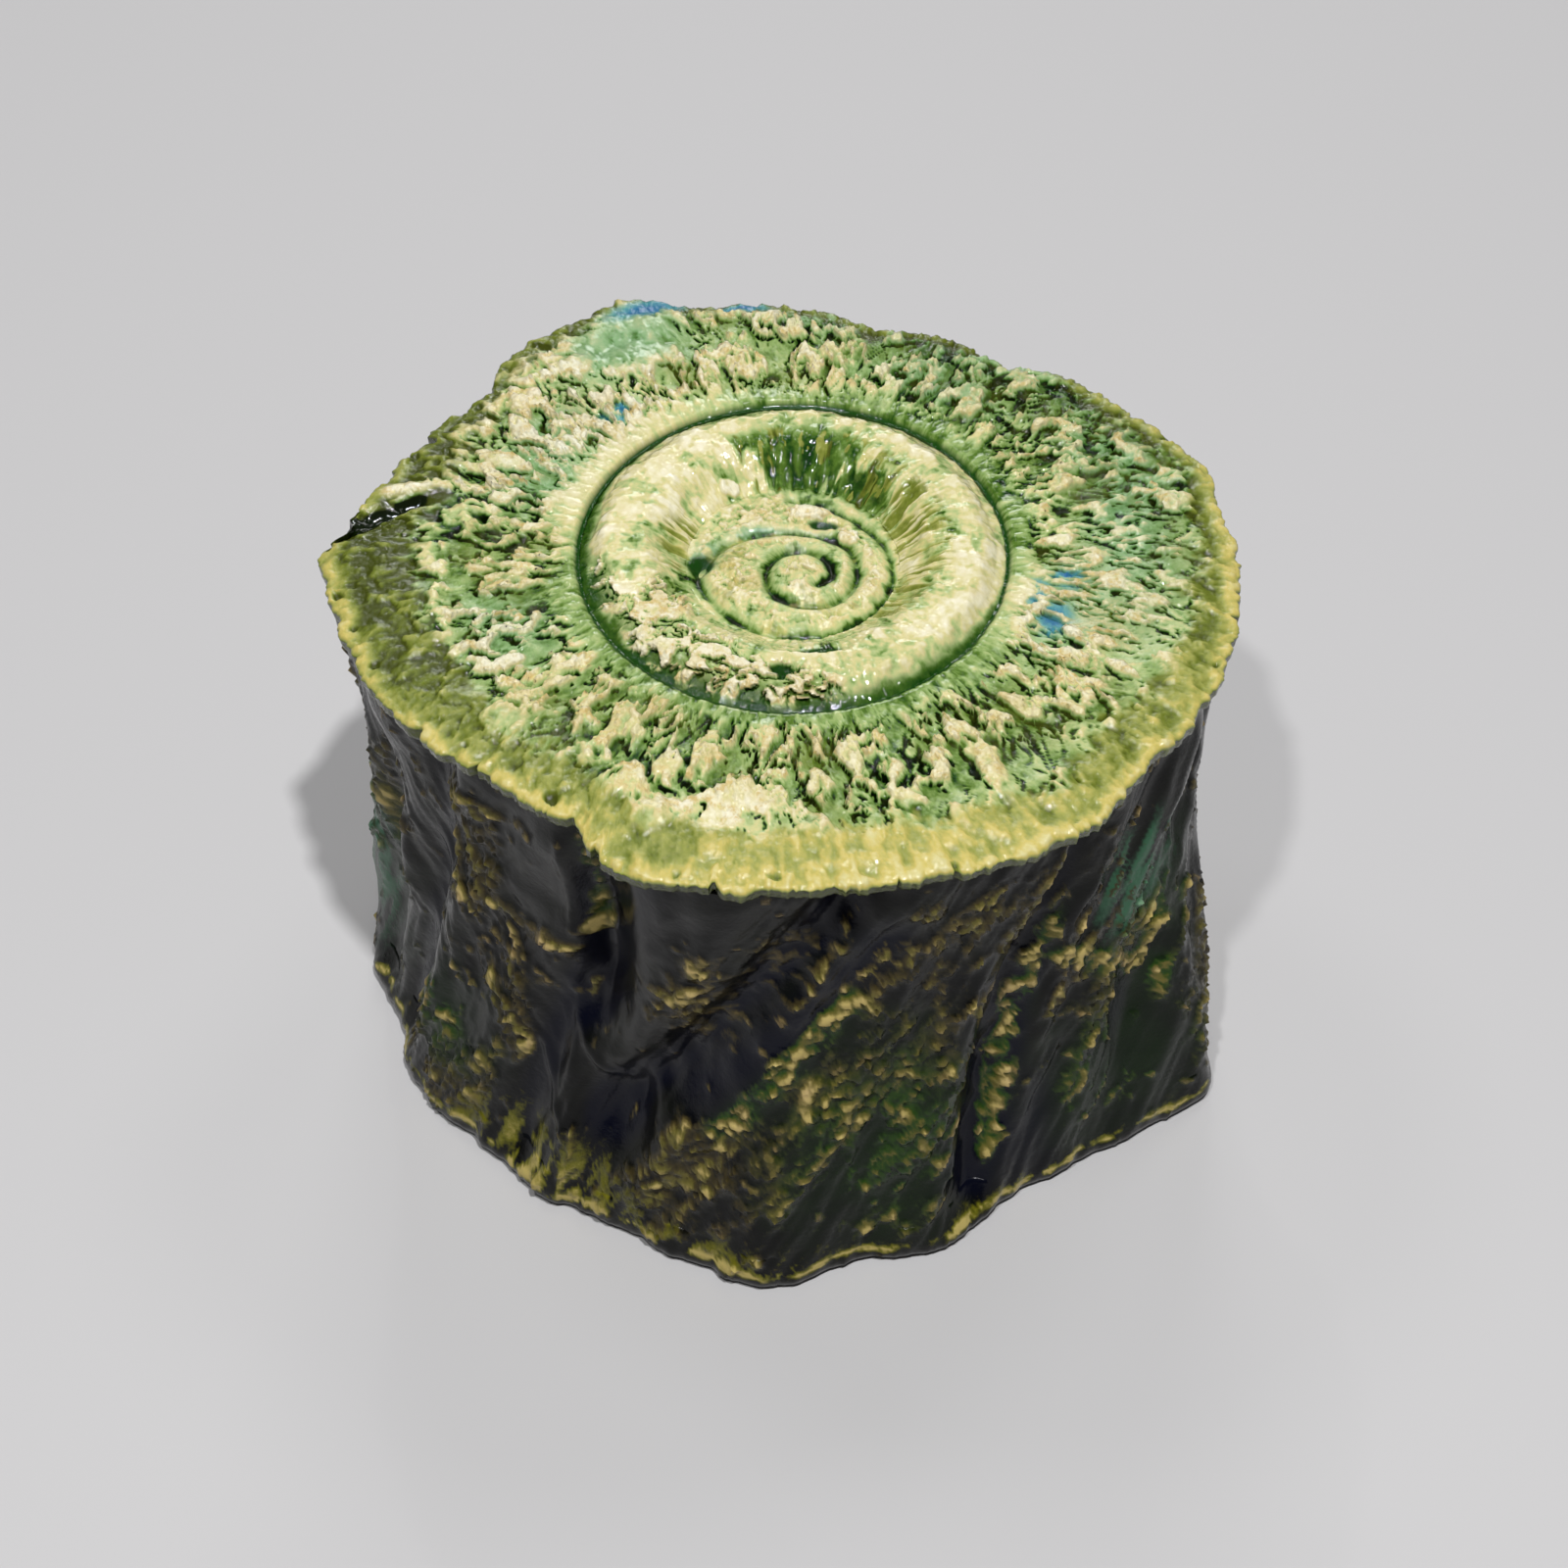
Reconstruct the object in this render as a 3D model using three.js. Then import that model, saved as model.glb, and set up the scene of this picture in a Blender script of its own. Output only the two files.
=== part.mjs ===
// A hand-built tea bowl, turned over on its mouth with its foot up: a base slab with a torn edge, a
// folded wall, a lip, a turned foot ring round a spiral boss, the coil that seals the inside corner
// and the glaze lining. Millimetres, +Z up, the floor at Z = 0.
import * as THREE from 'three';

// Overall sizes.
const BODY_HEIGHT = 80; // floor to the outer face of the base slab
const COLUMNS = 96; // steps round every piece that follows the outline

// The clay.
const WALL_THICKNESS = 6;
const SLAB_THICKNESS = 8.5;
const SLAB_EDGE = 3; // height of the torn edge that shows over the wall
const OVERHANG = 1.2; // how far that edge stands out over the wall
const EDGE_DROOP = 1.8; // how far the slab falls from its face to its edge
const DROOP_CURVE = 5; // how late it falls: a straight slope is 1
const FACE_RINGS = [0.1, 0.2, 0.3, 0.4, 0.5, 0.6, 0.7, 0.8, 0.93]; // where the face is measured
const BACK_DROOP = 2.4; // how much further it falls at the back
const BACK_DIRECTION = 75; // the direction in which it falls furthest, in degrees
const BACK_SPREAD = 50; // degrees either way over which that fades
const SEAM = 0.3; // gap left for slip between two pieces of clay
const WAIST = 3; // how far the wall is drawn in at half height

// The torn lumps of the slab's face: rows of bumps and hollows, pushed aside by slow waves.
const LUMP_HEIGHT = 1.4; // from the hollows to the tops
const LUMPS_ROUND = 23;
const LUMP_ROW = 10; // from one row to the next
const LUMP_WANDER = 1.7; // how far the waves push them, in radians of their pattern
const LUMP_WAVES = [3, 5]; // how many waves there are round the foot
const LUMPS_FROM = 0.2; // share of the way to the edge by which they have their full height
const LUMPS_TO = [0.6, 0.92]; // shares of the way over which they fade again

// The flutes that the paddle left in the wall between its creases.
const FLUTES = 24;
const FLUTE_DEPTH = 1.3;
const FLUTE_LEAN = 0.45; // degrees to the side for each millimetre of height
const FLUTE_WANDER = 1.5; // how far slow waves push them, in radians of their pattern
const FLUTE_WAVES = 3; // how many waves there are round the wall
const FLUTE_WAVE_HEIGHT = 14; // height over which a wave turns by a radian
const FLUTES_BETWEEN = [0.08, 0.25, 0.85, 0.98]; // shares of the height over which they come and go

// The lip.
const LIP_HEIGHT = 7;
const LIP_THICKNESS = 5;
const LIP_ROUND = 2; // rounding of its lower corners, outside and inside

// The foot.
const FOOT_RADIUS = 29; // middle of the turned groove round the foot
const GROOVE_WIDTH = 1.8; // across the groove at the slab's face
const GROOVE_DEPTH = 2.7;
const FOOT_RISE = 1.5; // height of the ring's crest over the slab
const CREST_WIDTH = 4.5;
const CREST_INSET = 4.5; // from the groove to the crest's outer edge
const FOOT_SEAT_DEPTH = 4.5; // depth of the seat cut in the slab for the foot
const HOLLOW_RADIUS = 14.3; // inner radius of the ring, where the boss sits
const HOLLOW_DEPTH = 4; // from the crest to the bottom of the hollow
const SMOOTH_BAND = 3.2; // width of the smooth band outside the groove
const FOOT_COLUMNS = 64;

// The foot ring's slopes, as shares of the way in and of the way up: from the groove to the crest,
// and from the hollow to the crest.
const OUTER_SLOPE = [[0.4, 0.6], [0.75, 0.9]];
const INNER_SLOPE = [[0.7, 0.8], [0.3, 0.3]];

// The spiral boss.
const BOSS_RISE = 1.6; // height of its crown over its edge
const SPIRAL_TURNS = 2.25;
const SPIRAL_START = 1.5; // radius at which the spiral begins
const SPIRAL_END = 12.6;
const SPIRAL_WIDTH = 1.5; // half width of the groove
const SPIRAL_DEPTH = 0.9;
const SPIRAL_TAIL = 85; // angle at which it runs out, in degrees
const BOSS_RINGS = 16;

// The corner coil and the lining.
const COIL_RADIUS = 5;
const FILLET_FROM = 20; // degrees left flat at each end of the coil's smoothed fillet
const FILLET_STEPS = 3;
const LINING_THICKNESS = 1;

// The torn edge of the slab and the mouth, seen from above, anticlockwise from the right.
const SLAB_OUTLINE = [
  [59.5, 1.5], [58, 9.5], [57, 15.5], [55.5, 19], [53, 22.5], [49, 27], [42, 33], [38, 36.5],
  [30, 38.5], [21, 45], [11, 46.5], [5, 50], [-5, 51.5], [-15, 51], [-24, 52], [-32, 46.5],
  [-40, 39], [-42, 33], [-50, 24], [-56, 14], [-62, 5.5], [-63.5, 1.5], [-61, -8.5],
  [-57, -20.5], [-50, -30.5], [-38, -40.5], [-30, -46.5], [-27, -48.5], [-25, -53.5],
  [-15, -57.5], [0, -58.5], [13, -57], [27, -53.5], [39, -46.5], [47, -35.5], [52, -29.5],
  [58, -16.5], [59.5, -6.5],
];
const MOUTH_OUTLINE = [
  [58, 5], [54, 18], [46, 30], [34, 39], [20, 45.5], [5, 49], [-10, 49.5], [-24, 47], [-37, 41],
  [-47, 32], [-55, 21], [-60, 6], [-60.5, -6.5], [-57, -16.5], [-55, -23], [-53, -28],
  [-47, -35.5], [-43, -39.5], [-38, -44.5], [-33, -48.5], [-27, -51], [-20, -56], [-13, -59],
  [-7, -62], [-3, -63], [6, -60], [11, -58], [20, -57], [24, -55], [27, -51], [32, -46.5],
  [38, -43], [44, -39], [50, -35.5], [55, -32], [58.5, -29.5], [59.5, -20], [58.5, -8],
];

// The creases paddled into the wall. Each runs down from one angle to another, between two shares
// of the body's height, and is wide on the side where the angle falls and narrow on the other.
const CREASES = [
  { top: [-76, 0.99], bottom: [-114, 0.28], depth: 5, wide: 7, narrow: 2.6 },
  { top: [-43, 1.0], bottom: [-67, 0.0], depth: 4.2, wide: 4.5, narrow: 3 },
  { top: [-116, 1.0], bottom: [-121, 0.52], depth: 4.5, wide: 3, narrow: 7 },
  { top: [-124, 0.5], bottom: [-131, 0.05], depth: 2.4, wide: 5, narrow: 3 },
  { top: [-148, 0.9], bottom: [-160, 0.05], depth: 3.4, wide: 6, narrow: 4 },
  { top: [-12, 0.95], bottom: [-34, 0.3], depth: 3, wide: 6, narrow: 3 },
  { top: [-6, 0.34], bottom: [-18, 0.1], depth: 3.4, wide: 5, narrow: 4 },
  { top: [22, 0.97], bottom: [4, 0.3], depth: 3.6, wide: 6, narrow: 3 },
  { top: [52, 1.0], bottom: [30, 0.1], depth: 4.4, wide: 7, narrow: 3 },
  { top: [84, 0.97], bottom: [58, 0.2], depth: 3.8, wide: 6, narrow: 3 },
  { top: [112, 1.0], bottom: [92, 0.05], depth: 4.2, wide: 6, narrow: 3 },
  { top: [140, 0.95], bottom: [124, 0.25], depth: 3.6, wide: 7, narrow: 3 },
  { top: [172, 0.98], bottom: [150, 0.1], depth: 4, wide: 6, narrow: 3 },
  { top: [-166, 0.7], bottom: [-172, 0.02], depth: 3.4, wide: 4, narrow: 4 },
];
const CREASE_FADE = 0.12; // share of the height over which a crease runs out
const INNER_FOLLOW = 0.5; // how much of the creases shows on the inside of the wall
const INNER_SPREAD = 3; // how much wider they are there

// Colours and finish, from the photograph.
const GREEN_GLAZE = { color: 0x8fa564, roughness: 0.28, metalness: 0 };
const CREAM_GLAZE = { color: 0xc9c48c, roughness: 0.28, metalness: 0 };
const BLACK_GLAZE = { color: 0x2a2d24, roughness: 0.2, metalness: 0 };
const OCHRE_GLAZE = { color: 0x6b6530, roughness: 0.25, metalness: 0 };
const CLAY = { color: 0xa58a63, roughness: 0.9, metalness: 0 };
const LINING_GLAZE = { color: 0x1f2a20, roughness: 0.15, metalness: 0 };

const RIGHT_ANGLE = Math.PI / 2;
const FULL_TURN = Math.PI * 2;
const radians = THREE.MathUtils.degToRad;
const mix = THREE.MathUtils.lerp;
const smoothstep = THREE.MathUtils.smoothstep;

// An outline as a smooth function from the angle to the radius.
function radiusOf(outline) {
  const polar = outline.map(([x, y]) => [(Math.atan2(y, x) + FULL_TURN) % FULL_TURN, Math.hypot(x, y)]);
  polar.sort((a, b) => a[0] - b[0]);
  const before = polar.slice(-2).map(([angle, radius]) => [angle - FULL_TURN, radius]);
  const after = polar.slice(0, 2).map(([angle, radius]) => [angle + FULL_TURN, radius]);
  const knots = [...before, ...polar, ...after];
  const curve = new THREE.CubicInterpolant(knots.map((k) => k[0]), knots.map((k) => k[1]), 1);
  return (angle) => curve.evaluate(((angle % FULL_TURN) + FULL_TURN) % FULL_TURN)[0];
}

const slabRadius = radiusOf(SLAB_OUTLINE);
const mouthRadius = radiusOf(MOUTH_OUTLINE);

// The smallest turn from one angle to another, in radians.
function turnBetween(from, to) {
  return ((((to - from + Math.PI) % FULL_TURN) + FULL_TURN) % FULL_TURN) - Math.PI;
}

// How deep all creases together are at an angle and a share of the height, spread this much wider.
function creaseDepth(angle, share, radius, spread) {
  let depth = 0;
  for (const crease of CREASES) {
    const [topAngle, topShare] = crease.top;
    const [bottomAngle, bottomShare] = crease.bottom;
    const along = (share - bottomShare) / (topShare - bottomShare);
    const middle = radians(mix(bottomAngle, topAngle, THREE.MathUtils.clamp(along, 0, 1)));
    const across = turnBetween(middle, angle) * radius;
    const width = spread * (across < 0 ? crease.wide : crease.narrow);
    const above = topShare > 1 - CREASE_FADE ? 1 : (topShare + CREASE_FADE - share) / CREASE_FADE;
    const below = bottomShare < CREASE_FADE ? 1 : (share - bottomShare + CREASE_FADE) / CREASE_FADE;
    const fade = THREE.MathUtils.clamp(above, 0, 1) * THREE.MathUtils.clamp(below, 0, 1);
    depth += crease.depth * fade * Math.exp(-((across / width) ** 2));
  }
  return depth;
}

// How far the slab's edge lies below its face.
function droopAt(angle) {
  const fromBack = turnBetween(radians(BACK_DIRECTION), angle) / radians(BACK_SPREAD);
  return EDGE_DROOP + BACK_DROOP * Math.exp(-(fromBack ** 2));
}

// How far the torn lumps of the face stand above or below its even level.
function lumpsAt(angle, radius, share) {
  const [slow, quick] = LUMP_WAVES;
  const aside = LUMP_WANDER * Math.sin(slow * angle + radius / LUMP_ROW);
  const further = LUMP_WANDER * Math.sin(quick * angle);
  const round = Math.sin(LUMPS_ROUND * angle + aside + further);
  const outward = Math.sin((FULL_TURN * radius) / LUMP_ROW + aside - further);
  const fade = smoothstep(share, 0, LUMPS_FROM) * (1 - smoothstep(share, ...LUMPS_TO));
  return (LUMP_HEIGHT / 2) * round * outward * fade;
}

// How far the wall's flutes stand out or in.
function flutesAt(angle, height) {
  const share = height / BODY_HEIGHT;
  const [start, full, fading, end] = FLUTES_BETWEEN;
  const fade = smoothstep(share, start, full) * (1 - smoothstep(share, fading, end));
  const aside = FLUTE_WANDER * Math.sin(FLUTE_WAVES * angle + height / FLUTE_WAVE_HEIGHT);
  return (FLUTE_DEPTH / 2) * fade * Math.sin(FLUTES * (angle - radians(FLUTE_LEAN) * height) + aside);
}

// The levels of the inside corner: the slab's plug, and the coil pressed in below it.
const plugHeight = BODY_HEIGHT - SLAB_THICKNESS;
const coilTop = plugHeight - SEAM;
const filletCentre = coilTop - COIL_RADIUS;
const coilBottom = filletCentre + COIL_RADIUS * Math.sin(radians(FILLET_FROM));

// The wall's outer radius, and its inner one, which runs straight up beside the coil and the plug.
function wallRadius(angle, height, follow = 1, spread = 1) {
  const share = height / BODY_HEIGHT;
  const rise = smoothstep(share, 0, 1);
  const straight = mix(mouthRadius(angle), slabRadius(angle) - OVERHANG, rise);
  const drawnIn = WAIST * Math.sin(Math.PI * THREE.MathUtils.clamp(share, 0, 1));
  return straight - drawnIn - follow * creaseDepth(angle, share, straight, spread);
}

function innerRadius(angle, height) {
  const level = Math.min(height, coilBottom);
  return wallRadius(angle, level, INNER_FOLLOW, INNER_SPREAD) - WALL_THICKNESS;
}

// A piece turned round the Z axis whose profile changes with the angle. Its profile is a list of
// [radius, height] that starts and ends on the axis or closes on itself. Each four-sided face is
// split along the diagonal that climbs with the angle, as the creases do, on every piece alike.
function turned(columns, profileAt) {
  const first = profileAt(0).map(([radius, height]) => new THREE.Vector2(radius, height));
  const geometry = new THREE.LatheGeometry(first, columns);
  const position = geometry.getAttribute('position');
  const faces = [];
  for (let column = 0; column <= columns; column++) {
    const angle = ((column % columns) / columns) * FULL_TURN;
    profileAt(angle).forEach(([radius, height], row) => {
      const here = column * first.length + row;
      position.setXYZ(here, radius * Math.cos(angle), radius * Math.sin(angle), height);
      if (column === columns || row === first.length - 1) return;
      const next = here + first.length;
      const climbing = first[row + 1].y > first[row].y;
      if (climbing) faces.push(here, next, next + 1, here, next + 1, here + 1);
      else faces.push(here, next, here + 1, next + 1, here + 1, next);
    });
  }
  geometry.setIndex(faces);
  geometry.computeVertexNormals();
  return geometry;
}

// The same profile all the way round.
function evenlyTurned(columns, profile) {
  return turned(columns, () => profile);
}

// Heights from one level to another in equal steps, both ends included.
function steps(from, to, count) {
  return Array.from({ length: count + 1 }, (_, i) => mix(from, to, i / count));
}

// Levels that neighbouring pieces share.
const slabFace = BODY_HEIGHT;
const footSeat = slabFace - FOOT_SEAT_DEPTH;
const grooveBottom = slabFace - GROOVE_DEPTH;
const crest = slabFace + FOOT_RISE;
const hollowBottom = crest - HOLLOW_DEPTH;
const wallTopAt = (angle) => slabFace - droopAt(angle) - SLAB_EDGE;
const seatRadius = FOOT_RADIUS - GROOVE_WIDTH / 2 + SEAM;
const innerLevels = steps(LIP_HEIGHT + SEAM / 2, coilBottom, 4);

// The base slab: its crusted face with the groove and the seat for the foot, its torn edge, and
// the plug that drops inside the wall.
function slabProfile(angle) {
  const edge = slabRadius(angle);
  const droop = droopAt(angle);
  const bandEdge = FOOT_RADIUS + GROOVE_WIDTH / 2 + SMOOTH_BAND;
  const face = FACE_RINGS.map((share) => {
    const radius = mix(bandEdge, edge, share);
    const fall = droop * share ** DROOP_CURVE;
    return [radius, slabFace - fall + lumpsAt(angle, radius, share)];
  });
  const plug = innerRadius(angle, plugHeight) - SEAM;
  return [
    [0, plugHeight],
    [plug, plugHeight],
    [plug, wallTopAt(angle) + SEAM],
    [edge - OVERHANG, wallTopAt(angle) + SEAM],
    [edge, slabFace - droop - SLAB_EDGE / 2],
    [edge - OVERHANG / 4, slabFace - droop],
    ...face.reverse(),
    [bandEdge, slabFace],
    [FOOT_RADIUS + GROOVE_WIDTH / 2, slabFace - GROOVE_DEPTH / 3],
    [seatRadius, grooveBottom],
    [seatRadius, footSeat],
    [0, footSeat],
  ];
}

// The wall: from the seam at the lip up to the slab's edge.
function wallProfile(angle) {
  const top = wallTopAt(angle);
  const outer = steps(LIP_HEIGHT + SEAM / 2, top, 11);
  const inner = [top, ...innerLevels.toReversed()];
  const profile = [
    ...outer.map((height) => [wallRadius(angle, height) + flutesAt(angle, height), height]),
    ...inner.map((height) => [innerRadius(angle, height), height]),
  ];
  return [...profile, profile[0]];
}

// The lip: rounded below, with a narrow flat on which the bowl stands in the photograph.
function lipProfile(angle) {
  const outside = mouthRadius(angle);
  const inside = outside - LIP_THICKNESS;
  const corner = LIP_ROUND * (1 - Math.SQRT1_2);
  const profile = [
    [inside + LIP_ROUND, 0],
    [outside - LIP_ROUND, 0],
    [outside - corner, corner],
    [outside, LIP_ROUND],
    [wallRadius(angle, LIP_HEIGHT), LIP_HEIGHT - SEAM / 2],
    [innerRadius(angle, LIP_HEIGHT), LIP_HEIGHT - SEAM / 2],
    [inside, LIP_ROUND],
    [inside + corner, corner],
  ];
  return [...profile, profile[0]];
}

// The foot ring: an outer slope to the groove, a flat crest, and the slope down to the hollow.
function footProfile() {
  const outer = seatRadius - SEAM;
  const crestOuter = FOOT_RADIUS - CREST_INSET;
  const crestInner = crestOuter - CREST_WIDTH;
  const profile = [
    [HOLLOW_RADIUS, footSeat + SEAM],
    [outer, footSeat + SEAM],
    [outer, grooveBottom],
    ...OUTER_SLOPE.map(([inward, upward]) => [
      mix(outer, crestOuter, inward),
      mix(grooveBottom, crest, upward),
    ]),
    [crestOuter, crest],
    [crestInner, crest],
    ...INNER_SLOPE.map(([outward, upward]) => [
      mix(HOLLOW_RADIUS, crestInner, outward),
      mix(hollowBottom, crest, upward),
    ]),
    [HOLLOW_RADIUS, hollowBottom],
  ];
  return [...profile, profile[0]];
}

// The spiral boss: a low crown with a spiral groove drawn in it.
const bossRadius = HOLLOW_RADIUS - SEAM;

function spiralCut(angle, radius) {
  const pitch = (SPIRAL_END - SPIRAL_START) / SPIRAL_TURNS;
  const behind = turnBetween(angle, radians(SPIRAL_TAIL));
  const sinceTail = (behind < 0 ? behind + FULL_TURN : behind) / FULL_TURN;
  let cut = 0;
  for (let turn = sinceTail; turn <= SPIRAL_TURNS; turn++) {
    const line = SPIRAL_END - turn * pitch;
    cut = Math.max(cut, 1 - Math.abs(radius - line) / SPIRAL_WIDTH);
  }
  return SPIRAL_DEPTH * cut;
}

function bossProfile(angle) {
  const crown = [];
  for (let ring = BOSS_RINGS; ring > 0; ring--) {
    const share = ring / BOSS_RINGS;
    const radius = share * bossRadius;
    const dome = BOSS_RISE * Math.cos(share * RIGHT_ANGLE);
    crown.push([radius, hollowBottom + dome - spiralCut(angle, radius)]);
  }
  return [[0, footSeat + SEAM], [bossRadius, footSeat + SEAM], ...crown, [0, hollowBottom + BOSS_RISE]];
}

// The fillet in the inside corner, as points from the flat of the base to the wall.
function fillet(angle, radius) {
  const centre = innerRadius(angle, coilBottom) - SEAM - COIL_RADIUS;
  return steps(FILLET_FROM, 90 - FILLET_FROM, FILLET_STEPS).map((degrees) => [
    centre + radius * Math.sin(radians(degrees)),
    filletCentre + radius * Math.cos(radians(degrees)),
  ]);
}

// The corner coil: pressed into the angle between the wall and the slab, and smoothed to a fillet.
function coilProfile(angle) {
  const arc = fillet(angle, COIL_RADIUS);
  const seat = innerRadius(angle, coilBottom) - SEAM;
  const profile = [
    [seat, coilTop],
    [arc[0][0], coilTop],
    ...arc,
    [seat, coilBottom],
  ];
  return [...profile, profile[0]];
}

// The glaze lining: an even coat over the wall's inside, the fillet and the floor of the bowl.
function liningSide(angle, depth) {
  const arc = fillet(angle, COIL_RADIUS - depth);
  const levels = innerLevels.slice(0, -1);
  const side = levels.map((height) => [innerRadius(angle, height) - SEAM - depth, height]);
  return [...side, ...arc.toReversed(), [0, coilTop - depth]];
}

function liningProfile(angle) {
  const outer = liningSide(angle, SEAM);
  const inner = liningSide(angle, SEAM + LINING_THICKNESS);
  return [...inner.toReversed(), ...outer];
}

function piece(name, geometry, finish) {
  const mesh = new THREE.Mesh(geometry, new THREE.MeshStandardMaterial(finish));
  mesh.name = name;
  return mesh;
}

const bowl = new THREE.Group();
bowl.add(
  piece('base_slab', turned(COLUMNS, slabProfile), GREEN_GLAZE),
  piece('wall', turned(COLUMNS, wallProfile), BLACK_GLAZE),
  piece('lip', turned(COLUMNS, lipProfile), OCHRE_GLAZE),
  piece('foot_ring', evenlyTurned(FOOT_COLUMNS, footProfile()), CREAM_GLAZE),
  piece('foot_spiral', turned(FOOT_COLUMNS, bossProfile), CREAM_GLAZE),
  piece('corner_coil', turned(COLUMNS, coilProfile), CLAY),
  piece('glaze_lining', turned(COLUMNS, liningProfile), LINING_GLAZE),
);

// The origin is on the floor under the middle of the whole bowl.
const middle = new THREE.Box3().setFromObject(bowl).getCenter(new THREE.Vector3());
bowl.position.set(-middle.x, -middle.y, 0);

export default bowl;
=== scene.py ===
# The looks of a hand-built tea bowl that lies on its mouth: torn and glazed clay over the packed
# solids. Shapes are worked out in millimetres about the foot's axis, and made in metres.
import itertools
import math

import bpy
import numpy as np
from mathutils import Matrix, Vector
from mathutils.bvhtree import BVHTree


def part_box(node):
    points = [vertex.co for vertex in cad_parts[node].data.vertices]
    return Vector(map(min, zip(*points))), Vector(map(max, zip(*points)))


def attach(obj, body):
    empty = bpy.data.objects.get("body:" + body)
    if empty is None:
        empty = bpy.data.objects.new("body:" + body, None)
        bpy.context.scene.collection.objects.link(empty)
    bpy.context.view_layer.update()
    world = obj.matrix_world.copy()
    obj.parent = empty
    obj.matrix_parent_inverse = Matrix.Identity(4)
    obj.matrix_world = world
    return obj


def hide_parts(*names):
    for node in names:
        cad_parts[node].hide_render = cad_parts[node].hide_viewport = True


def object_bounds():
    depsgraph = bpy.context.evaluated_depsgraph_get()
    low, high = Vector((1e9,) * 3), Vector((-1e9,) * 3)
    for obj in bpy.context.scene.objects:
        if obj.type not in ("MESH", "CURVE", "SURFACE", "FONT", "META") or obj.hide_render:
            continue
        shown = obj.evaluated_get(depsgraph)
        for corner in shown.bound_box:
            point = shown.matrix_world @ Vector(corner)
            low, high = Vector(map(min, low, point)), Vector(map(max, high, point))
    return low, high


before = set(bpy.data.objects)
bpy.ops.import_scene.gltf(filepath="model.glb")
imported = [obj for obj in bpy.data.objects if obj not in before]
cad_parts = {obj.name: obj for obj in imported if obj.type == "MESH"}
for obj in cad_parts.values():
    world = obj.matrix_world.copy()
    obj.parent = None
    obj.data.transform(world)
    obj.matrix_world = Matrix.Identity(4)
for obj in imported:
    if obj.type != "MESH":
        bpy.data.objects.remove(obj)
cad_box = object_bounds()

MM = 0.001


def box_mm(node):
    """Lowest and highest corner of a CAD node, in millimetres."""
    low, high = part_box(node)
    return np.array(low) / MM, np.array(high) / MM


# Sizes taken from the solids
ring_low, ring_high = box_mm("foot_ring")
boss_low, boss_high = box_mm("foot_spiral")
slab_low = box_mm("base_slab")[0]
wall_low, wall_high = box_mm("wall")
lip_high = box_mm("lip")[1]
lining_low, lining_high = box_mm("glaze_lining")
AXIS = (ring_low + ring_high)[:2] / 2
BOX = np.array([list(corner) for corner in cad_box]) / MM - np.append(AXIS, 0)
CREST = ring_high[2]
SEAM = 0.3  # between the solids, for the dressed pieces to fill
SEAT = ring_low[2] - SEAM
RING_OUTER = (ring_high - ring_low)[0] / 2 + SEAM / 2
BOSS_OUTER = (boss_high - boss_low)[0] / 2 + SEAM / 2
LIP_SEAM = (lip_high[2] + wall_low[2]) / 2

# Fineness of the grids
CAD_COLUMNS = 96
SLAB_COLUMNS = 1060
WALL_COLUMNS = 800
RING_COLUMNS = 900
BOSS_COLUMNS = 480
LINING_COLUMNS = 240


# Curves and ranges
def angles(count):
    return np.arange(count) / count * math.tau


def smooth(low, high, value):
    """0 at low, 1 at high, and an even rise between them. low may be above high."""
    share = np.clip((value - low) / (high - low), 0, 1)
    return share * share * (3 - 2 * share)


def hump(value, middle, width):
    """1 at the middle, fading to 0 a few widths away."""
    return np.exp(-(((value - middle) / width) ** 2))


def turn(degrees, middle):
    """Degrees from the middle to each angle, the short way round."""
    return (degrees - middle + 180) % 360 - 180


def mix(share, first, second):
    return first + share * (second - first)


def by_direction(degrees, knots):
    """A value that changes evenly between directions, given as {degrees: value}."""
    return np.interp(degrees, list(knots), list(knots.values()), period=360)


def read_at(values, place, closed):
    """A smooth curve through the values along the last axis, read at places counted in values."""
    known = values.shape[-1]
    index = np.floor(place).astype(int)
    t = place - index

    def at(step):
        picked = (index + step) % known if closed else np.clip(index + step, 0, known - 1)
        return values[..., picked]

    before, here, after, beyond = at(-1), at(0), at(1), at(2)
    bend = 2 * before - 5 * here + 4 * after - beyond
    return here + t / 2 * (after - before + t * (bend + t * (3 * (here - after) + beyond - before)))


def read_round(values, columns):
    """Values known at some even angles, read at others."""
    return read_at(values, np.arange(columns) / columns * values.shape[-1], True)


def read_grid(values, places, columns):
    """A grid of known values read at row places and even angles."""
    return read_at(read_round(values, columns).T, places, False).T


def add_rows(grid, before, after):
    """Repeats a grid's first and last rows."""
    return np.vstack([grid[:1]] * before + [grid] + [grid[-1:]] * after)


def stack(columns, *rows):
    """A grid from numbers, rows and other grids, one below the other."""
    return np.vstack([np.broadcast_to(row, (len(np.atleast_2d(row)), columns)) for row in rows])


def soften(values, times, turned=True):
    """Averages each value of a grid with its neighbours, along and, unless told not to, round."""
    for _ in range(times):
        if turned:
            values = (np.roll(values, 1, 1) + 2 * values + np.roll(values, -1, 1)) / 4
        padded = add_rows(values, 1, 1)
        values = (padded[:-2] + 2 * padded[1:-1] + padded[2:]) / 4
    return values


def sunk(values, times):
    """How far each value of a grid lies below its surroundings, which the times make wider."""
    return soften(values, times) - values


# Reading the solids
NUDGE = 1e-4  # keeps a ray off the edges of the faces
RAY_INSET = 0.2  # and off the edge of a solid
FAR = 200.0


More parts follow.
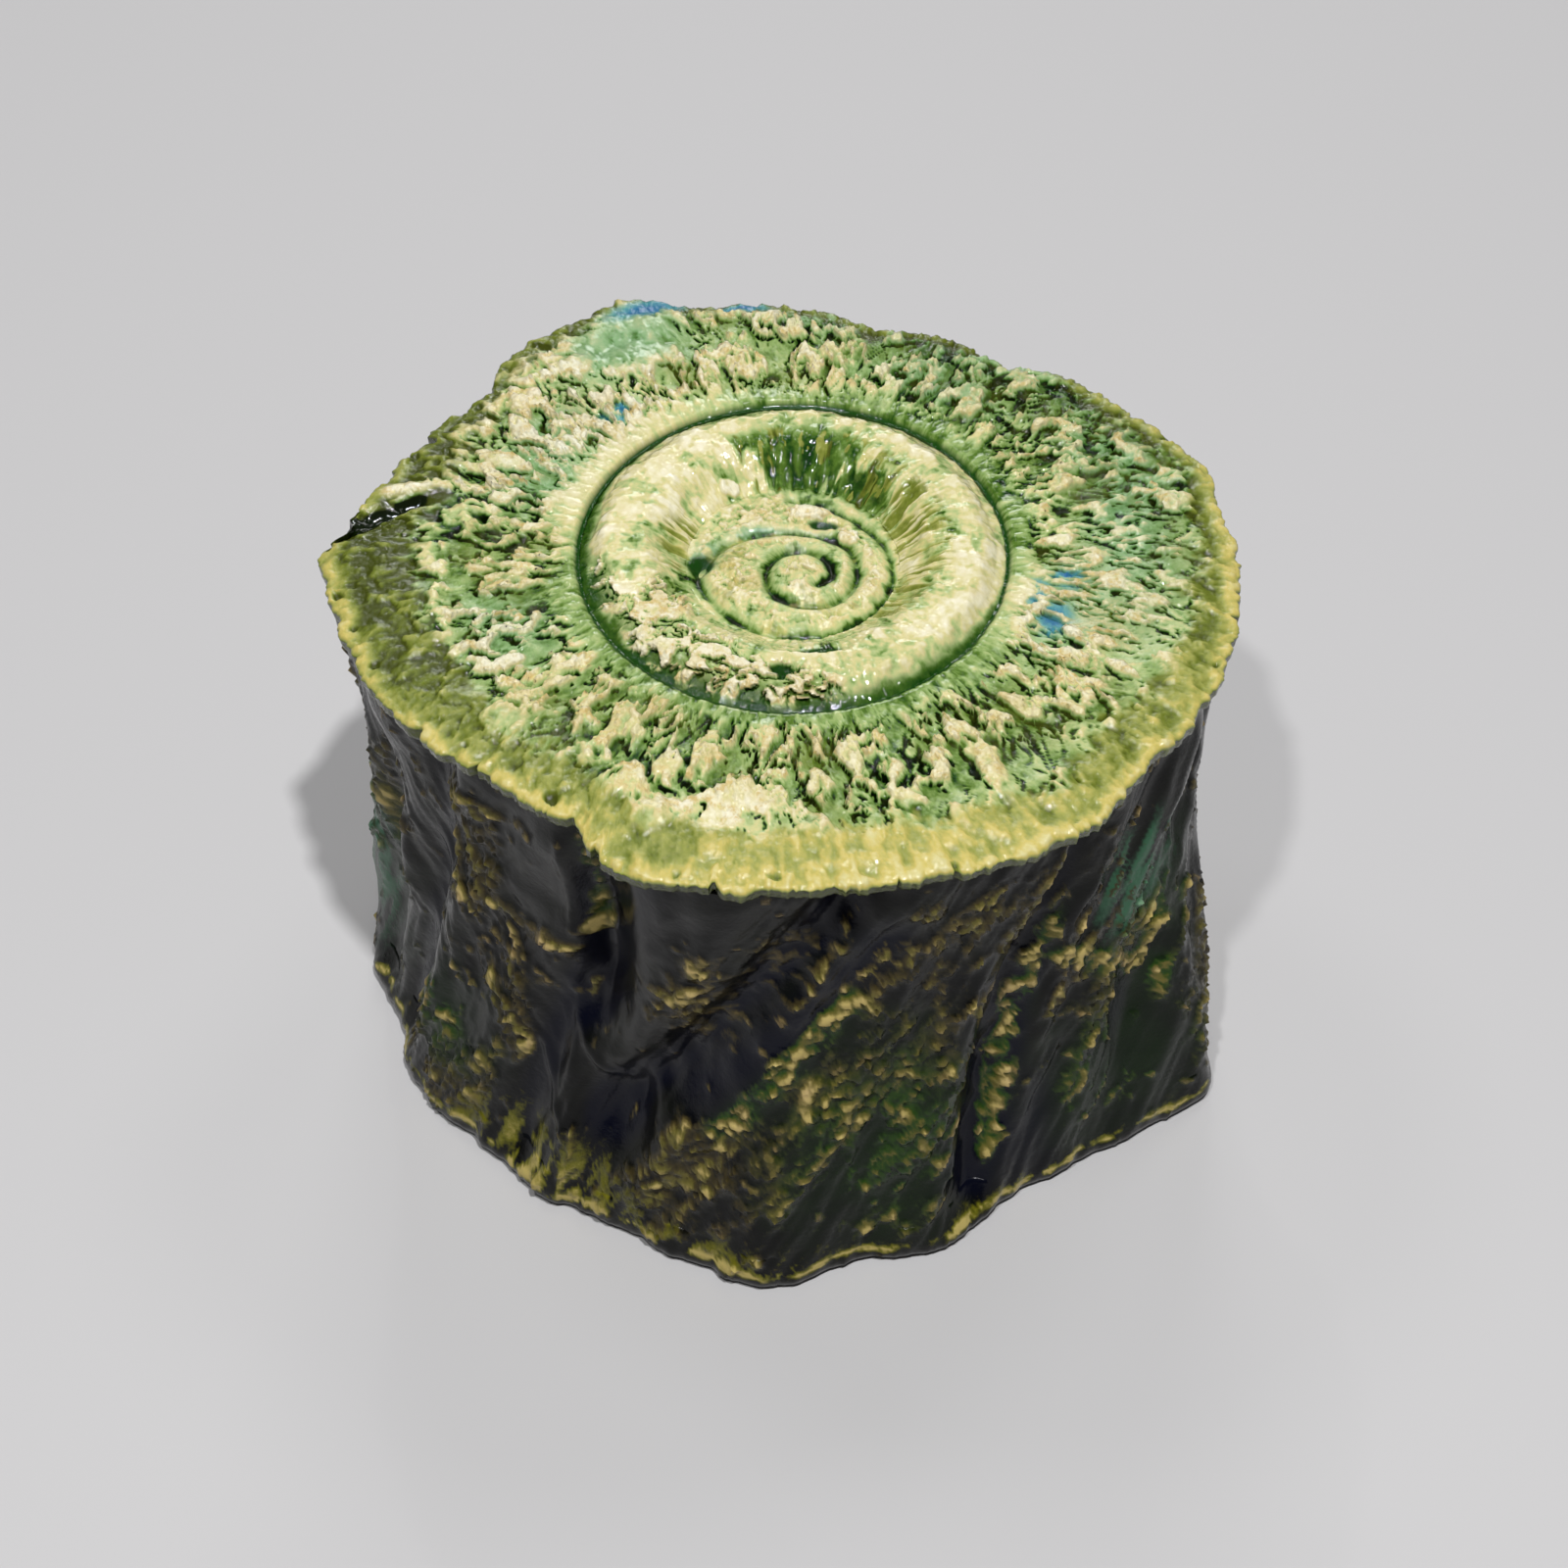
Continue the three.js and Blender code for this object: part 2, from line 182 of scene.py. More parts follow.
def tree_of(*names):
    """A tree for casting rays at some CAD nodes, in millimetres about the foot's axis."""
    vertices, faces = [], []
    for name in names:
        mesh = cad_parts[name].data
        first = len(vertices)
        vertices += [(v.co.x / MM - AXIS[0], v.co.y / MM - AXIS[1], v.co.z / MM) for v in mesh.vertices]
        faces += [[first + i for i in polygon.vertices] for polygon in mesh.polygons]
    return BVHTree.FromPolygons(vertices, faces)


def cast(tree, shape, ray):
    """Fills a grid with what each ray measures: ray gives its start, its way and its measure."""
    out = np.zeros(shape)
    for row, column in np.ndindex(shape):
        angle = column / shape[1] * math.tau + NUDGE
        start, way, measure = ray(row, column, angle)
        out[row, column] = measure(tree.ray_cast(Vector(start), Vector(way))[0])
    return out


def radius_at(tree, heights, outside=True):
    """Distance from the axis to the tree's outer or inner side at each height."""
    def ray(row, column, angle):
        way = np.array([math.cos(angle), math.sin(angle), 0])
        level = np.array([0, 0, heights[row]])
        start, way = (level + way * FAR, -way) if outside else (level, way)
        return start, way, lambda hit: math.hypot(hit.x, hit.y)
    return cast(tree, (len(heights), CAD_COLUMNS), ray)


def height_at(tree, radii, above=True):
    """Height of the tree's top, or of its ceiling, over a grid of radii."""
    def ray(row, column, angle):
        radius = radii[row, column]
        start = (radius * math.cos(angle), radius * math.sin(angle), FAR if above else wall_high[2] / 2)
        return start, (0, 0, -1 if above else 1), lambda hit: hit.z
    return cast(tree, radii.shape, ray)


# Noise, with the large primes that stir its random numbers
CELL_PRIMES = (73856093, 19349663, 83492791)
SEED_PRIME = 2654435761
SALTS = (11 * 40503, 53 * 40503, 97 * 40503)
STIRS = ((15, 2246822519), (13, 3266489917), (16, 668265263))
WORD = 2**32
NOISE_GAIN = 1.6
LAYER_STEP = 2.03  # how much finer each layer is
WARP_SCALE = 1.3
WARP_SEED = 71


def random_at(cell, seed):
    """Three numbers from 0 to 1 for each whole-numbered cell."""
    mixed = np.uint64(seed * SEED_PRIME)
    for i, prime in enumerate(CELL_PRIMES):
        mixed = mixed ^ (cell[..., i].astype(np.int64).astype(np.uint64) * prime)
    numbers = []
    for salt in SALTS:
        h = mixed + np.uint64(salt)
        for shift, factor in STIRS:
            h = (h ^ (h >> np.uint64(shift))) * np.uint64(factor) & np.uint64(WORD - 1)
        numbers.append(h / WORD)
    return np.stack(numbers, -1)


def noise(point, seed):
    """Gradient noise, about -1 to 1, one unit across."""
    cell = np.floor(point)
    local = point - cell
    fade = local**3 * (local * (local * 6 - 15) + 10)
    total = 0
    for corner in itertools.product((0, 1), repeat=3):
        corner = np.array(corner)
        slope = random_at(cell + corner, seed) * 2 - 1
        weight = np.prod(np.where(corner, fade, 1 - fade), -1)
        total += weight * np.sum(slope * (local - corner), -1)
    return total * NOISE_GAIN


def layered(point, layers, seed, gain=0.5):
    """Noise with finer and finer layers."""
    total, size, weight = 0, 1.0, 1.0
    for layer in range(layers):
        total += weight * noise(point * size, seed + layer)
        size *= LAYER_STEP
        weight *= gain
    return total


def grains(point, seed):
    """Rounded grains a unit apart: 1 at the middle of each, 0 between them."""
    cell = np.floor(point)
    nearest = np.full(point.shape[:-1], np.inf)
    for offset in itertools.product((-1, 0, 1), repeat=3):
        near = cell + np.array(offset)
        distance = np.linalg.norm(near + random_at(near, seed) - point, axis=-1)
        nearest = np.minimum(nearest, distance)
    return 1 - nearest


def round_point(place, across_size, along_size):
    """A place, given as its angle, its way along and the radius of its cylinder, in units of a
    feature's size across and along."""
    angle, along, radius = place
    across_x = radius * np.cos(angle) / across_size
    across_y = radius * np.sin(angle) / across_size
    return np.stack(np.broadcast_arrays(across_x, across_y, along / along_size), -1)


def warped(point, amount, seed):
    """The point moved about by noise."""
    moves = [noise(point * WARP_SCALE, seed + WARP_SEED + i) for i in range(3)]
    return point + amount * np.stack(moves, -1)


def clouds(place, sizes, layers, seed, gain=0.5, moved=None):
    """Layered noise round a cylinder, in features of these sizes across and along. Moved says how far
    they are moved about, and by which seed."""
    point = round_point(place, *sizes)
    if moved:
        point = warped(point, *moved)
    return layered(point, layers, seed, gain)


# Places on the object
LINE_END = 0.15  # share of a line in which it fades out


def patches(across, along, places, turned=True):
    """How much each place is inside any of some soft patches: two middles and two half sizes. Across
    is in degrees, or else, where it isn't turned, in millimetres."""
    total = 0
    for middle_across, middle_along, half_across, half_along in places:
        aside = turn(across, middle_across) if turned else across - middle_across
        far = (aside / half_across) ** 2 + ((along - middle_along) / half_along) ** 2
        total = np.maximum(total, np.exp(-far))
    return total


def from_line(x, y, route):
    """Distance to a line of points, positive on its right, and the share of the line passed there."""
    nearest = np.full(np.shape(x), np.inf)
    side = np.zeros(np.shape(x))
    passed = np.zeros(np.shape(x))
    lengths = [math.dist(a, b) for a, b in zip(route, route[1:])]
    start = 0
    for (ax, ay), (bx, by), length in zip(route, route[1:], lengths):
        dx, dy = (bx - ax) / length, (by - ay) / length
        t = np.clip((x - ax) * dx + (y - ay) * dy, 0, length)
        away_x, away_y = x - ax - t * dx, y - ay - t * dy
        distance = np.hypot(away_x, away_y)
        closer = distance < nearest
        nearest = np.where(closer, distance, nearest)
        side = np.where(closer, np.sign(dy * away_x - dx * away_y), side)
        passed = np.where(closer, (start + t) / sum(lengths), passed)
        start += length
    return nearest * np.where(side == 0, 1, side), passed


def tapered(passed):
    """1 along a line, falling to 0 at its ends."""
    return smooth(0, LINE_END, passed) * smooth(1, 1 - LINE_END, passed)


# Meshes
SHARP_ANGLE = 70  # edges sharper than this stay crisp
HIDDEN_POLE = 0.5  # radius of the innermost ring of a hidden flat face


def new_object(name, data):
    thing = bpy.data.objects.new(name, data)
    bpy.context.scene.collection.objects.link(thing)
    return thing


def extended(values, before, after):
    """Each grid of values, with its first and last rows repeated."""
    return {key: add_rows(grid, before, after) for key, grid in values.items()}


def shell(name, points, values, poles=()):
    """A closed mesh from rows of points whose columns go all the way round. The rows go outwards on
    top and down outside. The last row joins the first, or else a pole on the axis closes each end."""
    rows, columns = points.shape[:2]
    vertices = points.reshape(-1, 3)
    if len(poles):
        vertices = np.vstack([vertices, [(0, 0, height) for height in poles]])
    metres = (vertices + np.append(AXIS, 0)) * MM
    index = np.arange(rows * columns).reshape(rows, columns)
    upper, lower = (index[:-1], index[1:]) if len(poles) else (index, np.roll(index, -1, 0))
    sides = [upper, lower, np.roll(lower, -1, 1), np.roll(upper, -1, 1)]
    faces = np.stack([side.ravel() for side in sides], -1).tolist()
    if len(poles):
        start, end = rows * columns, rows * columns + 1
        faces += [(start, a, b) for a, b in zip(index[0], np.roll(index[0], -1))]
        faces += [(end, b, a) for a, b in zip(index[-1], np.roll(index[-1], -1))]
    mesh = bpy.data.meshes.new(name)
    mesh.from_pydata(metres.tolist(), [], faces)
    for key, grid in values.items():
        grid = np.broadcast_to(grid, (rows, columns))
        flat = grid.ravel()
        if len(poles):
            flat = np.append(flat, [grid[0].mean(), grid[-1].mean()])
        mesh.attributes.new(key, "FLOAT", "POINT").data.foreach_set("value", flat.astype(np.float32))
    mesh.polygons.foreach_set("use_smooth", np.ones(len(mesh.polygons), bool))
    mesh.update()
    return new_object(name, mesh)


def wrap(radius, height):
    """Points from rows of radii and heights whose columns go all the way round."""
    radius, height = np.broadcast_arrays(radius, height)
    angle = angles(radius.shape[1])
    return np.stack([radius * np.cos(angle), radius * np.sin(angle), height], -1)


def push_out(radius, height, relief):
    """Moves rows of points off the surface, to the side that lies on the left of the rows' way."""
    run, rise = np.gradient(radius, axis=0), np.gradient(height, axis=0)
    length = np.hypot(run, rise)
    return radius - relief * rise / length, height + relief * run / length


def settle(piece, node, material):
    """Puts a piece in its CAD node's place."""
    piece.data.set_sharp_from_angle(angle=math.radians(SHARP_ANGLE))
    piece.data.materials.append(material)
    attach(piece, "root")
    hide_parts(node)


# Materials
def paint(red, green, blue):
    """A colour as seen on a screen, 0 to 255, in the shader's units."""
    def linear(value):
        value /= 255
        return value / 12.92 if value <= 0.04045 else ((value + 0.055) / 1.055) ** 2.4
    return (linear(red), linear(green), linear(blue), 1)


class Finish:
    """A material whose nodes are added one by one."""

    def __init__(self, name):
        self.material = bpy.data.materials.new(name)
        self.material.use_nodes = True
        self.tree = self.material.node_tree
        self.shader = next(n for n in self.tree.nodes if n.type == "BSDF_PRINCIPLED")
        self.place = self.tree.nodes.new("ShaderNodeTexCoord").outputs["Object"]

    def add(self, kind, inputs, **settings):
        node = self.tree.nodes.new(kind)
        for key, value in settings.items():
            setattr(node, key, value)
        for key, value in inputs.items():
            self.put(node.inputs[key], value)
        return node

    def put(self, socket, value):
        if isinstance(value, bpy.types.NodeSocket):
            self.tree.links.new(value, socket)
        else:
            socket.default_value = value

    def value(self, name):
        """A value that the mesh carries at each vertex."""
        return self.add("ShaderNodeAttribute", {}, attribute_name=name).outputs["Fac"]

    def cloud(self, size, detail=4.0, roughness=0.6):
        """Noise in features of so many millimetres, 0 to 1."""
        inputs = {"Vector": self.place, "Scale": 1 / (size * MM), "Detail": detail, "Roughness": roughness}
        return self.add("ShaderNodeTexNoise", inputs).outputs["Fac"]

    def specks(self, size):
        """Distance from scattered points so many millimetres apart, 0 to about 1."""
        inputs = {"Vector": self.place, "Scale": 1 / (size * MM)}
        return self.add("ShaderNodeTexVoronoi", inputs).outputs["Distance"]

    def math(self, operation, first, second, third=0.0):
        inputs = {0: first, 1: second, 2: third}
        return self.add("ShaderNodeMath", inputs, operation=operation).outputs[0]

    def times(self, first, second):
        return self.math("MULTIPLY", first, second)

    def scaled(self, value, factor, start):
        return self.math("MULTIPLY_ADD", value, factor, start)

    def wobble(self, value, cloud, amount):
        """The value moved up and down by a cloud."""
        return self.math("ADD", value, self.scaled(cloud, amount, -amount / 2))

    def range(self, value, low, high):
        """0 at low, 1 at high."""
        if low > high:
            return self.math("SUBTRACT", 1.0, self.range(value, high, low))
        inputs = {"Value": value, "From Min": low, "From Max": high}
        node = self.add("ShaderNodeMapRange", inputs, interpolation_type="SMOOTHSTEP")
        return node.outputs["Result"]

    def patchy(self, name, cloud, amount, low, high):
        """A value of the mesh, moved up and down by a cloud: 0 at low, 1 at high."""
        return self.range(self.wobble(self.value(name), cloud, amount), low, high)

    def ramp(self, value, stops):
        node = self.add("ShaderNodeValToRGB", {"Fac": value})
        elements = node.color_ramp.elements
        while len(elements) < len(stops):
            elements.new(0.5)
        for element, (position, colour) in zip(elements, stops):
            element.position = position
            element.color = colour
        return node.outputs["Color"]

    def mix(self, share, first, second, blend="MIX"):
        inputs = {"Factor": share, 6: first, 7: second}
        return self.add("ShaderNodeMix", inputs, data_type="RGBA", blend_type=blend).outputs[2]

    def bump(self, height, distance, strength=1.0, under=None):
        """A bump of so many millimetres."""
        inputs = {"Height": height, "Distance": distance * MM, "Strength": strength}
        if under is not None:
            inputs["Normal"] = under
        return self.add("ShaderNodeBump", inputs).outputs["Normal"]

    def done(self, colour, roughness, normal, coat, coat_roughness=0.05, ior=1.6):
        inputs = {"Base Color": colour, "Roughness": roughness, "Normal": normal, "IOR": ior}
        inputs |= {"Coat Weight": coat, "Coat Roughness": coat_roughness}
        for key, value in inputs.items():
            self.put(self.shader.inputs[key], value)
        return self.material


# Colours of the crust and its edge
BLACK_GREEN = paint(10, 20, 2)
DEEP_GREEN = paint(22, 64, 12)
GREEN = paint(84, 116, 40)
MINT = paint(138, 164, 96)
PALE_MINT = paint(178, 192, 130)
CREAM = paint(214, 205, 146)
PALE_CREAM = paint(238, 232, 204)
DARK_OLIVE = paint(66, 74, 18)
OLIVE = paint(108, 120, 40)
OCHRE = paint(204, 178, 106)
GREEN_YELLOW = paint(154, 158, 80)
YELLOW = paint(204, 188, 104)
TURQUOISE = paint(80, 158, 168)
BLUE = paint(30, 96, 150)
COOL_TINT = paint(204, 236, 255)

# Colours of the wall and the lip
SOOT = paint(6, 6, 6)
GREEN_BLACK = paint(15, 17, 11)
DARK_BROWN = paint(50, 46, 26)
DARK_GREEN = paint(34, 58, 16)
MOSS = paint(20, 42, 14)
NAVY = paint(6, 8, 22)
SAND = paint(220, 190, 140)
YELLOW_SAND = paint(190, 170, 104)
BROWN = paint(128, 108, 68)
OLIVE_BROWN = paint(100, 94, 42)
JADE = paint(58, 108, 78)
PALE_JADE = paint(132, 174, 136)
LIGHT_JADE = paint(70, 120, 88)
LOW_BROWN = paint(60, 52, 28)
LOW_GREEN = paint(40, 66, 20)
RIM_OLIVE = paint(104, 102, 22)
RIM_SAND = paint(190, 172, 100)
# painted shade: near black for the lip's underside, where it turns under towards the floor
MOUTH_PAINTED_SHADE = paint(16, 15, 11)

# Colours of the inside and of bare clay
INNER_BLACK = paint(20, 22, 18)
INNER_GREEN = paint(44, 60, 26)
INNER_OLIVE = paint(96, 92, 40)
CLAY_BROWN = paint(120, 92, 66)
CLAY_TAN = paint(160, 130, 96)


# The torn face of the slab. A gauge is the radius at which features have the size that they are given.
FACE_GAUGE = 40
GROOVE_GAUGE = 34
EDGE_GAUGE = 52
OUTLINE_GAUGE = 55
GROOVE_MIDDLE = RING_OUTER + 0.9
GROOVE_FILL = 0.55
GLAZE_LEVEL = 79.6  # height up to which glaze gathers in the groove about the foot
FACE_START = RING_OUTER + 4.5  # where the solid's face starts to be read, outside its groove
FACE_RAYS = 24
INWARD_ROWS = 8  # rows that carry the first reading on over the groove
RAY_MARGIN = 0.3
FACE_ROWS = 76
SHOULDER = 1.4  # rounding of the torn edge
SHOULDER_FALL = 0.55  # its height as a share of its width
SHOULDER_BEND = (12, 26, 40, 54, 68, 82, 96, 110)
EDGE_DEPTH = 2.6  # how far the torn edge reaches down
EDGE_INSET = 0.6
BITE_DEPTH = 0.6
NOTCH_DEPTH = 1.3
UNDERCUT = 1.0
UNDER_EDGE_PAINTED_SHADE = 0.9  # painted shade: how much darker the colour is made under the torn edge
FLAKE_HEIGHT = 0.95
FLAKE_LEAN = (0.9, 0.45)  # the way in the plan in which they climb steeply
CRACK_DEPTH = 1.1
CRACK_LEAN = 0.012  # radians for each millimetre outwards
PIT_DEPTH = 0.8
CUT_DEPTH = 2.2
CUT_LIP_HEIGHT = 0.5
LEAST_STEP = 0.05  # keeps slopes finite where the face turns down

# Rows under the shoulder: shares of the undercut and of the edge's depth, and the relief left there.
UNDER_ROWS = np.array([(0.25, 0.8, 0.8), (0.4, 0.95, 0.6), (0.7, 1.05, 0.3), (1.6, 1.1, 0.0)])

# What changes round the slab: {degrees: value}. The band is the even strip inside the torn edge, its
# width in millimetres. Tones run from olive at 0 to cream at 1. Paleness lightens the face, and bold is
# where the flakes are large.
BAND_WIDTH = {-140: 8, -50: 8, -25: 7, 0: 5, 20: 4, 60: 2, 95: 2, 140: 3, 165: 8, 180: 13}
BAND_TONE = {-150: 0.28, -110: 0.46, -80: 0.72, -45: 0.38, 0: 0.34, 45: -0.1, 95: 0, 140: 0, 180: 0.05}
BAND_TORN = {-150: 0.25, -90: 0.1, -45: 0.15, 0: 0.4, 60: 0.6, 120: 0.6, 180: 0.45}
EDGE_TONE = {-150: 0.72, -80: 0.85, 0: 0.72, 30: 0.5, 60: 0.2, 100: 0.15, 150: 0.25, 180: 0.6}
PALENESS = {-165: -0.03, -75: -0.04, -45: -0.02, -15: 0.07, 15: -0.05, 50: -0.06, 90: 0, 135: 0.12, 165: 0}
BOLD = {-150: 0.9, -120: 1, -60: 1, -25: 0.9, 0: 0.7, 45: 0.85, 90: 0.8, 140: 0.85, 180: 0.85}

# Patches of the face: degrees, radius, half length in degrees and half width.
BLUE_PATCHES = [(-19, 36, 6, 3.2), (-7, 36.5, 4, 3), (-13, 33, 6, 2.4), (131, 36, 5, 3)]
BLUE_EDGE = [(113, 53, 8, 2.5), (98, 50, 5, 1.2)]
SMOOTH_PATCHES = [(119, 47, 13, 8)]
STRIATED_PATCHES = [(176, 55, 17, 8), (-3, 44, 24, 12), (30, 54, 14, 6)]
TEAL_PATCHES = [(119, 46, 18, 9), (-14, 38, 20, 9), (10, 46, 40, 10), (70, 48, 34, 9), (138, 36, 16, 7),
                (150, 38, 24, 9), (-160, 40, 14, 8), (60, 38, 20, 6)]
PALE_PATCHES = [(136, 35, 22, 8), (160, 31, 18, 3), (-17, 33, 12, 4), (-155, 42, 12, 7), (-17, 40, 13, 8),
                (-100, 48, 14, 4), (75, 41, 12, 5)]
PEBBLY_PATCHES = [(-98, 47, 17, 4.5), (-52, 49, 14, 3)]
DARK_PATCHES = [(66, 44, 24, 6), (25, 56, 12, 5), (43, 49, 9, 4), (172, 47, 9, 6)]

# A cut in the face on the left, and the raised lip beside it, in millimetres.
SIDE_CUT = [(-61, 5.6), (-54, 8.6), (-47, 11.4)]
CUT_LIP = [(-57, 11.6), (-48, 13.2), (-36, 11.6)]


def lean_of(field, angle, radius, way):
    """How fast a field over the face climbs towards a direction in the plan, per millimetre."""
    step_out = np.gradient(radius, axis=0)
    climb_out = np.gradient(field, axis=0) / np.where(np.abs(step_out) < LEAST_STEP, LEAST_STEP, step_out)
    climb_round = (np.roll(field, -1, 1) - np.roll(field, 1, 1)) / (2 * math.tau / field.shape[1] * radius)
    out = np.cos(angle) * way[0] + np.sin(angle) * way[1]
    aside = -np.sin(angle) * way[0] + np.cos(angle) * way[1]
    return climb_out * out + climb_round * aside


def flakes(field, lean):
    """Raised flakes where a field is above 0, each with one steep side, and the cracks beside these."""
    steep = smooth(-0.12, 0.3, lean)
    raised = smooth(-0.04, mix(steep, 0.5, 0.2), field)
    crack = steep * hump(field, -0.13, 0.09)
    return raised, crack


def deep_cracks(face):
    """Long open cracks that lean across the front of the face."""
    angle, radius, gauge = face
    leaning = (angle + CRACK_LEAN * (radius - gauge), radius, gauge)
    field = clouds(leaning, (2.6, 11), 2, 85, moved=(0.5, 83))
    return hump(field, 0.1, 0.07) * smooth(-0.1, 0.4, noise(round_point(face, 4, 6), 87))


def slab_flakes(face, field, bold):
    """The face's raised flakes and all its cracks, the deeper the bolder the flakes are."""
    angle, radius, _ = face
    raised, crack = flakes(field, lean_of(field, angle, radius, FLAKE_LEAN))
    crack *= smooth(-0.5, 0.3, noise(round_point(face, 5, 7), 31) + 0.25)
    crack *= 0.6 + 0.7 * bold
    return raised, np.maximum(crack, 0.8 * bold * deep_cracks(face))


def side_cut(x, y):
    """The cut on the left and the lip beside it: 1 where it is deepest, and where it is highest."""
    cut, passed = from_line(x, y, SIDE_CUT)
    depth = hump(cut, 0, 2.2 - 1.2 * passed) * smooth(1, 0.75, passed)
    lip, passed = from_line(x, y, CUT_LIP)
    return depth, hump(lip, 0, 1.1) * tapered(passed)


def slab_relief(angle, radius, edge, lumps):
    """Relief of the slab's face and what its glaze does. edge is the distance from the torn edge, and
    lumps is how far the solid stands above its surroundings."""
    degrees = np.degrees(angle)
    face = (angle, radius, FACE_GAUGE)
    edge_face = (angle, radius, EDGE_GAUGE)
    wander = noise(round_point(face, 9, 9), 5)
    inner = smooth(RING_OUTER + 1.5, RING_OUTER + 6.5, radius + 2 * wander)
    band_width = by_direction(degrees, BAND_WIDTH)
    coarse = clouds(face, (3.4, 5.8), 4, 17, 0.55, (0.6, 3))
    from_band = edge - band_width + 3 * wander
    outer = smooth(-3, 5, from_band + 1.2 * coarse)
    even = smooth(0.3, 0.8, patches(degrees, radius, SMOOTH_PATCHES))
    striated = smooth(0.2, 0.7, patches(degrees, radius, STRIATED_PATCHES))
    pale = patches(degrees, radius, PALE_PATCHES)
    dark = patches(degrees, radius, DARK_PATCHES)
    pebbly = smooth(0.2, 0.8, patches(degrees, radius, PEBBLY_PATCHES))
    band_torn = by_direction(degrees, BAND_TORN) * smooth(1.5, 4, edge)
    torn = inner * mix(outer, band_torn, 1) * (1 - 0.9 * even)

    crumbs = clouds(face, (2.2, 3.5), 4, 24, 0.6, (0.5, 13))
    fine = clouds(face, (1.5, 5.0), 3, 27, 0.6, (0.4, 9))
    bold = np.clip(by_direction(degrees, BOLD) + 0.4 * wander, 0, 1)
    field = mix(bold, crumbs - 0.12, coarse + 0.06 + 0.04 * wander)
    field = mix(0.75 * striated, field, fine) + 0.5 * lumps
    raised, crack = slab_flakes(face, field, bold)
    chipped = smooth(-0.1, 0.25, clouds(face, (1.5, 2.1), 3, 43, 0.6, (0.5, 41)))
    grain = grains(round_point(face, 0.85, 0.95), 8)
    streak = clouds((angle, radius, GROOVE_GAUGE), (0.9, 4.5), 3, 44, 0.6)
    serration = clouds(edge_face, (1.0, 3.0), 3, 61, 0.6, (0.3, 12))

    body = FLAKE_HEIGHT * (raised - 0.5) + 0.2 * coarse
    body = body + (0.06 + 0.38 * raised) * (chipped - 0.5) + 0.24 * raised * (grain - 0.4)
    relief = torn * (1 - 0.6 * pebbly) * ((1 - 0.45 * striated) * body - CRACK_DEPTH * crack)
    relief = relief + (0.06 * streak + 0.12 * crumbs) * (1 - inner) + 0.1 * streak * even
    band = (1 - outer) * inner
    near_edge = smooth(5, 1, edge)
    pebbles = (0.2 + 0.25 * near_edge) * crumbs + 0.1 * streak + 0.08 * serration
    relief += band * (pebbles + 0.14 * (grain - 0.4))

    pits = smooth(0.4, 0.7, noise(round_point(edge_face, 2.4, 2.4), 92)) * smooth(3.5, 1, edge)
    relief -= PIT_DEPTH * pits

    cut, cut_lip = side_cut(radius * np.cos(angle), radius * np.sin(angle))
    relief = relief - CUT_DEPTH * cut + CUT_LIP_HEIGHT * cut_lip * (0.6 + 0.8 * grain)

    # Glaze runs off what stands out and gathers in what lies deep
    deep = np.clip(sunk(relief, 30), -0.5, 0.9)
    rise = 0.39 + 0.19 * raised - 0.4 * deep + 0.12 * raised * (grain - 0.4) - 0.7 * crack
    rise = rise + 0.08 * crumbs + 0.06 * wander
    rise += 0.12 * field * (1 - raised)
    calm = 0.3 + 0.07 * streak + 0.1 * crumbs + 0.24 * pale - 0.4 * deep
    rise = mix(torn, calm, rise) + 0.14 * pale - 0.17 * dark + 0.08 * pebbly * (1 + crumbs)
    rise += by_direction(degrees, PALENESS)
    # Painted shade: the deep cut is painted black green, and its olive band colour and crust are taken
    # away there
    cut_painted_shade = smooth(0.2, 0.7, cut)
    rise = rise - 0.8 * cut_painted_shade + 0.5 * cut_lip
    tone = by_direction(degrees, BAND_TONE) + 0.1 * wander
    yellow = mix(smooth(3.4, 0.4, edge + 0.8 * wander), tone, by_direction(degrees, EDGE_TONE))
    yellow = yellow + 0.08 * serration + 0.1 * streak + 0.09 * crumbs + 0.08 * (grain - 0.5)
    yellow = yellow - 0.4 * deep - 0.6 * pits
    yellow = yellow + 0.5 * band_torn * (raised - 0.3) - 0.6 * crack * band_torn
    olive = smooth(3, -3, from_band + 2 * crumbs) * (1 - even) * (1 - 0.5 * band_torn * raised)
    streaky = 0.4 * striated * outer * smooth(34, 50, radius)
    blue = patches(degrees, radius, BLUE_PATCHES) * smooth(0.3, -0.2, field)
    values = {
        "rise": rise,
        "olive": np.clip(olive + streaky, 0, 1) * (1 - cut_painted_shade) * (1 - 0.8 * cut_lip),
        "yellow": yellow,
        "deep": smooth(GROOVE_MIDDLE, RING_OUTER + 0.4, radius),
        "torn": np.maximum(torn, 0.8 * band) * (1 - cut_painted_shade),
        "blue": np.maximum(blue, patches(degrees, radius, BLUE_EDGE)),
        "teal": patches(degrees, radius, TEAL_PATCHES),
    }
    return relief, values


def face_base(outline, radius):
    """Height of the slab's face as the solid has it, with the groove about the foot left out, and how
    far its lumps stand above their surroundings."""
    shares = np.linspace(0, 1, FACE_RAYS)
    reach = read_round(outline, CAD_COLUMNS) - SHOULDER - RAY_MARGIN - FACE_START
    known = height_at(tree_of("base_slab"), FACE_START + reach[None, :] * shares[:, None])
    known = add_rows(known, INWARD_ROWS, 0)
    passed = (radius - FACE_START) / (outline - SHOULDER - RAY_MARGIN - FACE_START)
    place = np.clip(INWARD_ROWS + passed * (FACE_RAYS - 1), 0, len(known) - 1.001)
    low = np.floor(place).astype(int)
    columns = np.arange(radius.shape[1])
    grids = []
    for grid in (known, -sunk(known, 6)):
        fine = read_round(grid, radius.shape[1])
        grids.append(mix(place - low, fine[low, columns], fine[low + 1, columns]))
    return grids


def filled(height):
    """The height of the glaze over the solid's turned groove, which it fills in part."""
    return height + GROOVE_FILL * np.maximum(GLAZE_LEVEL - height, 0)


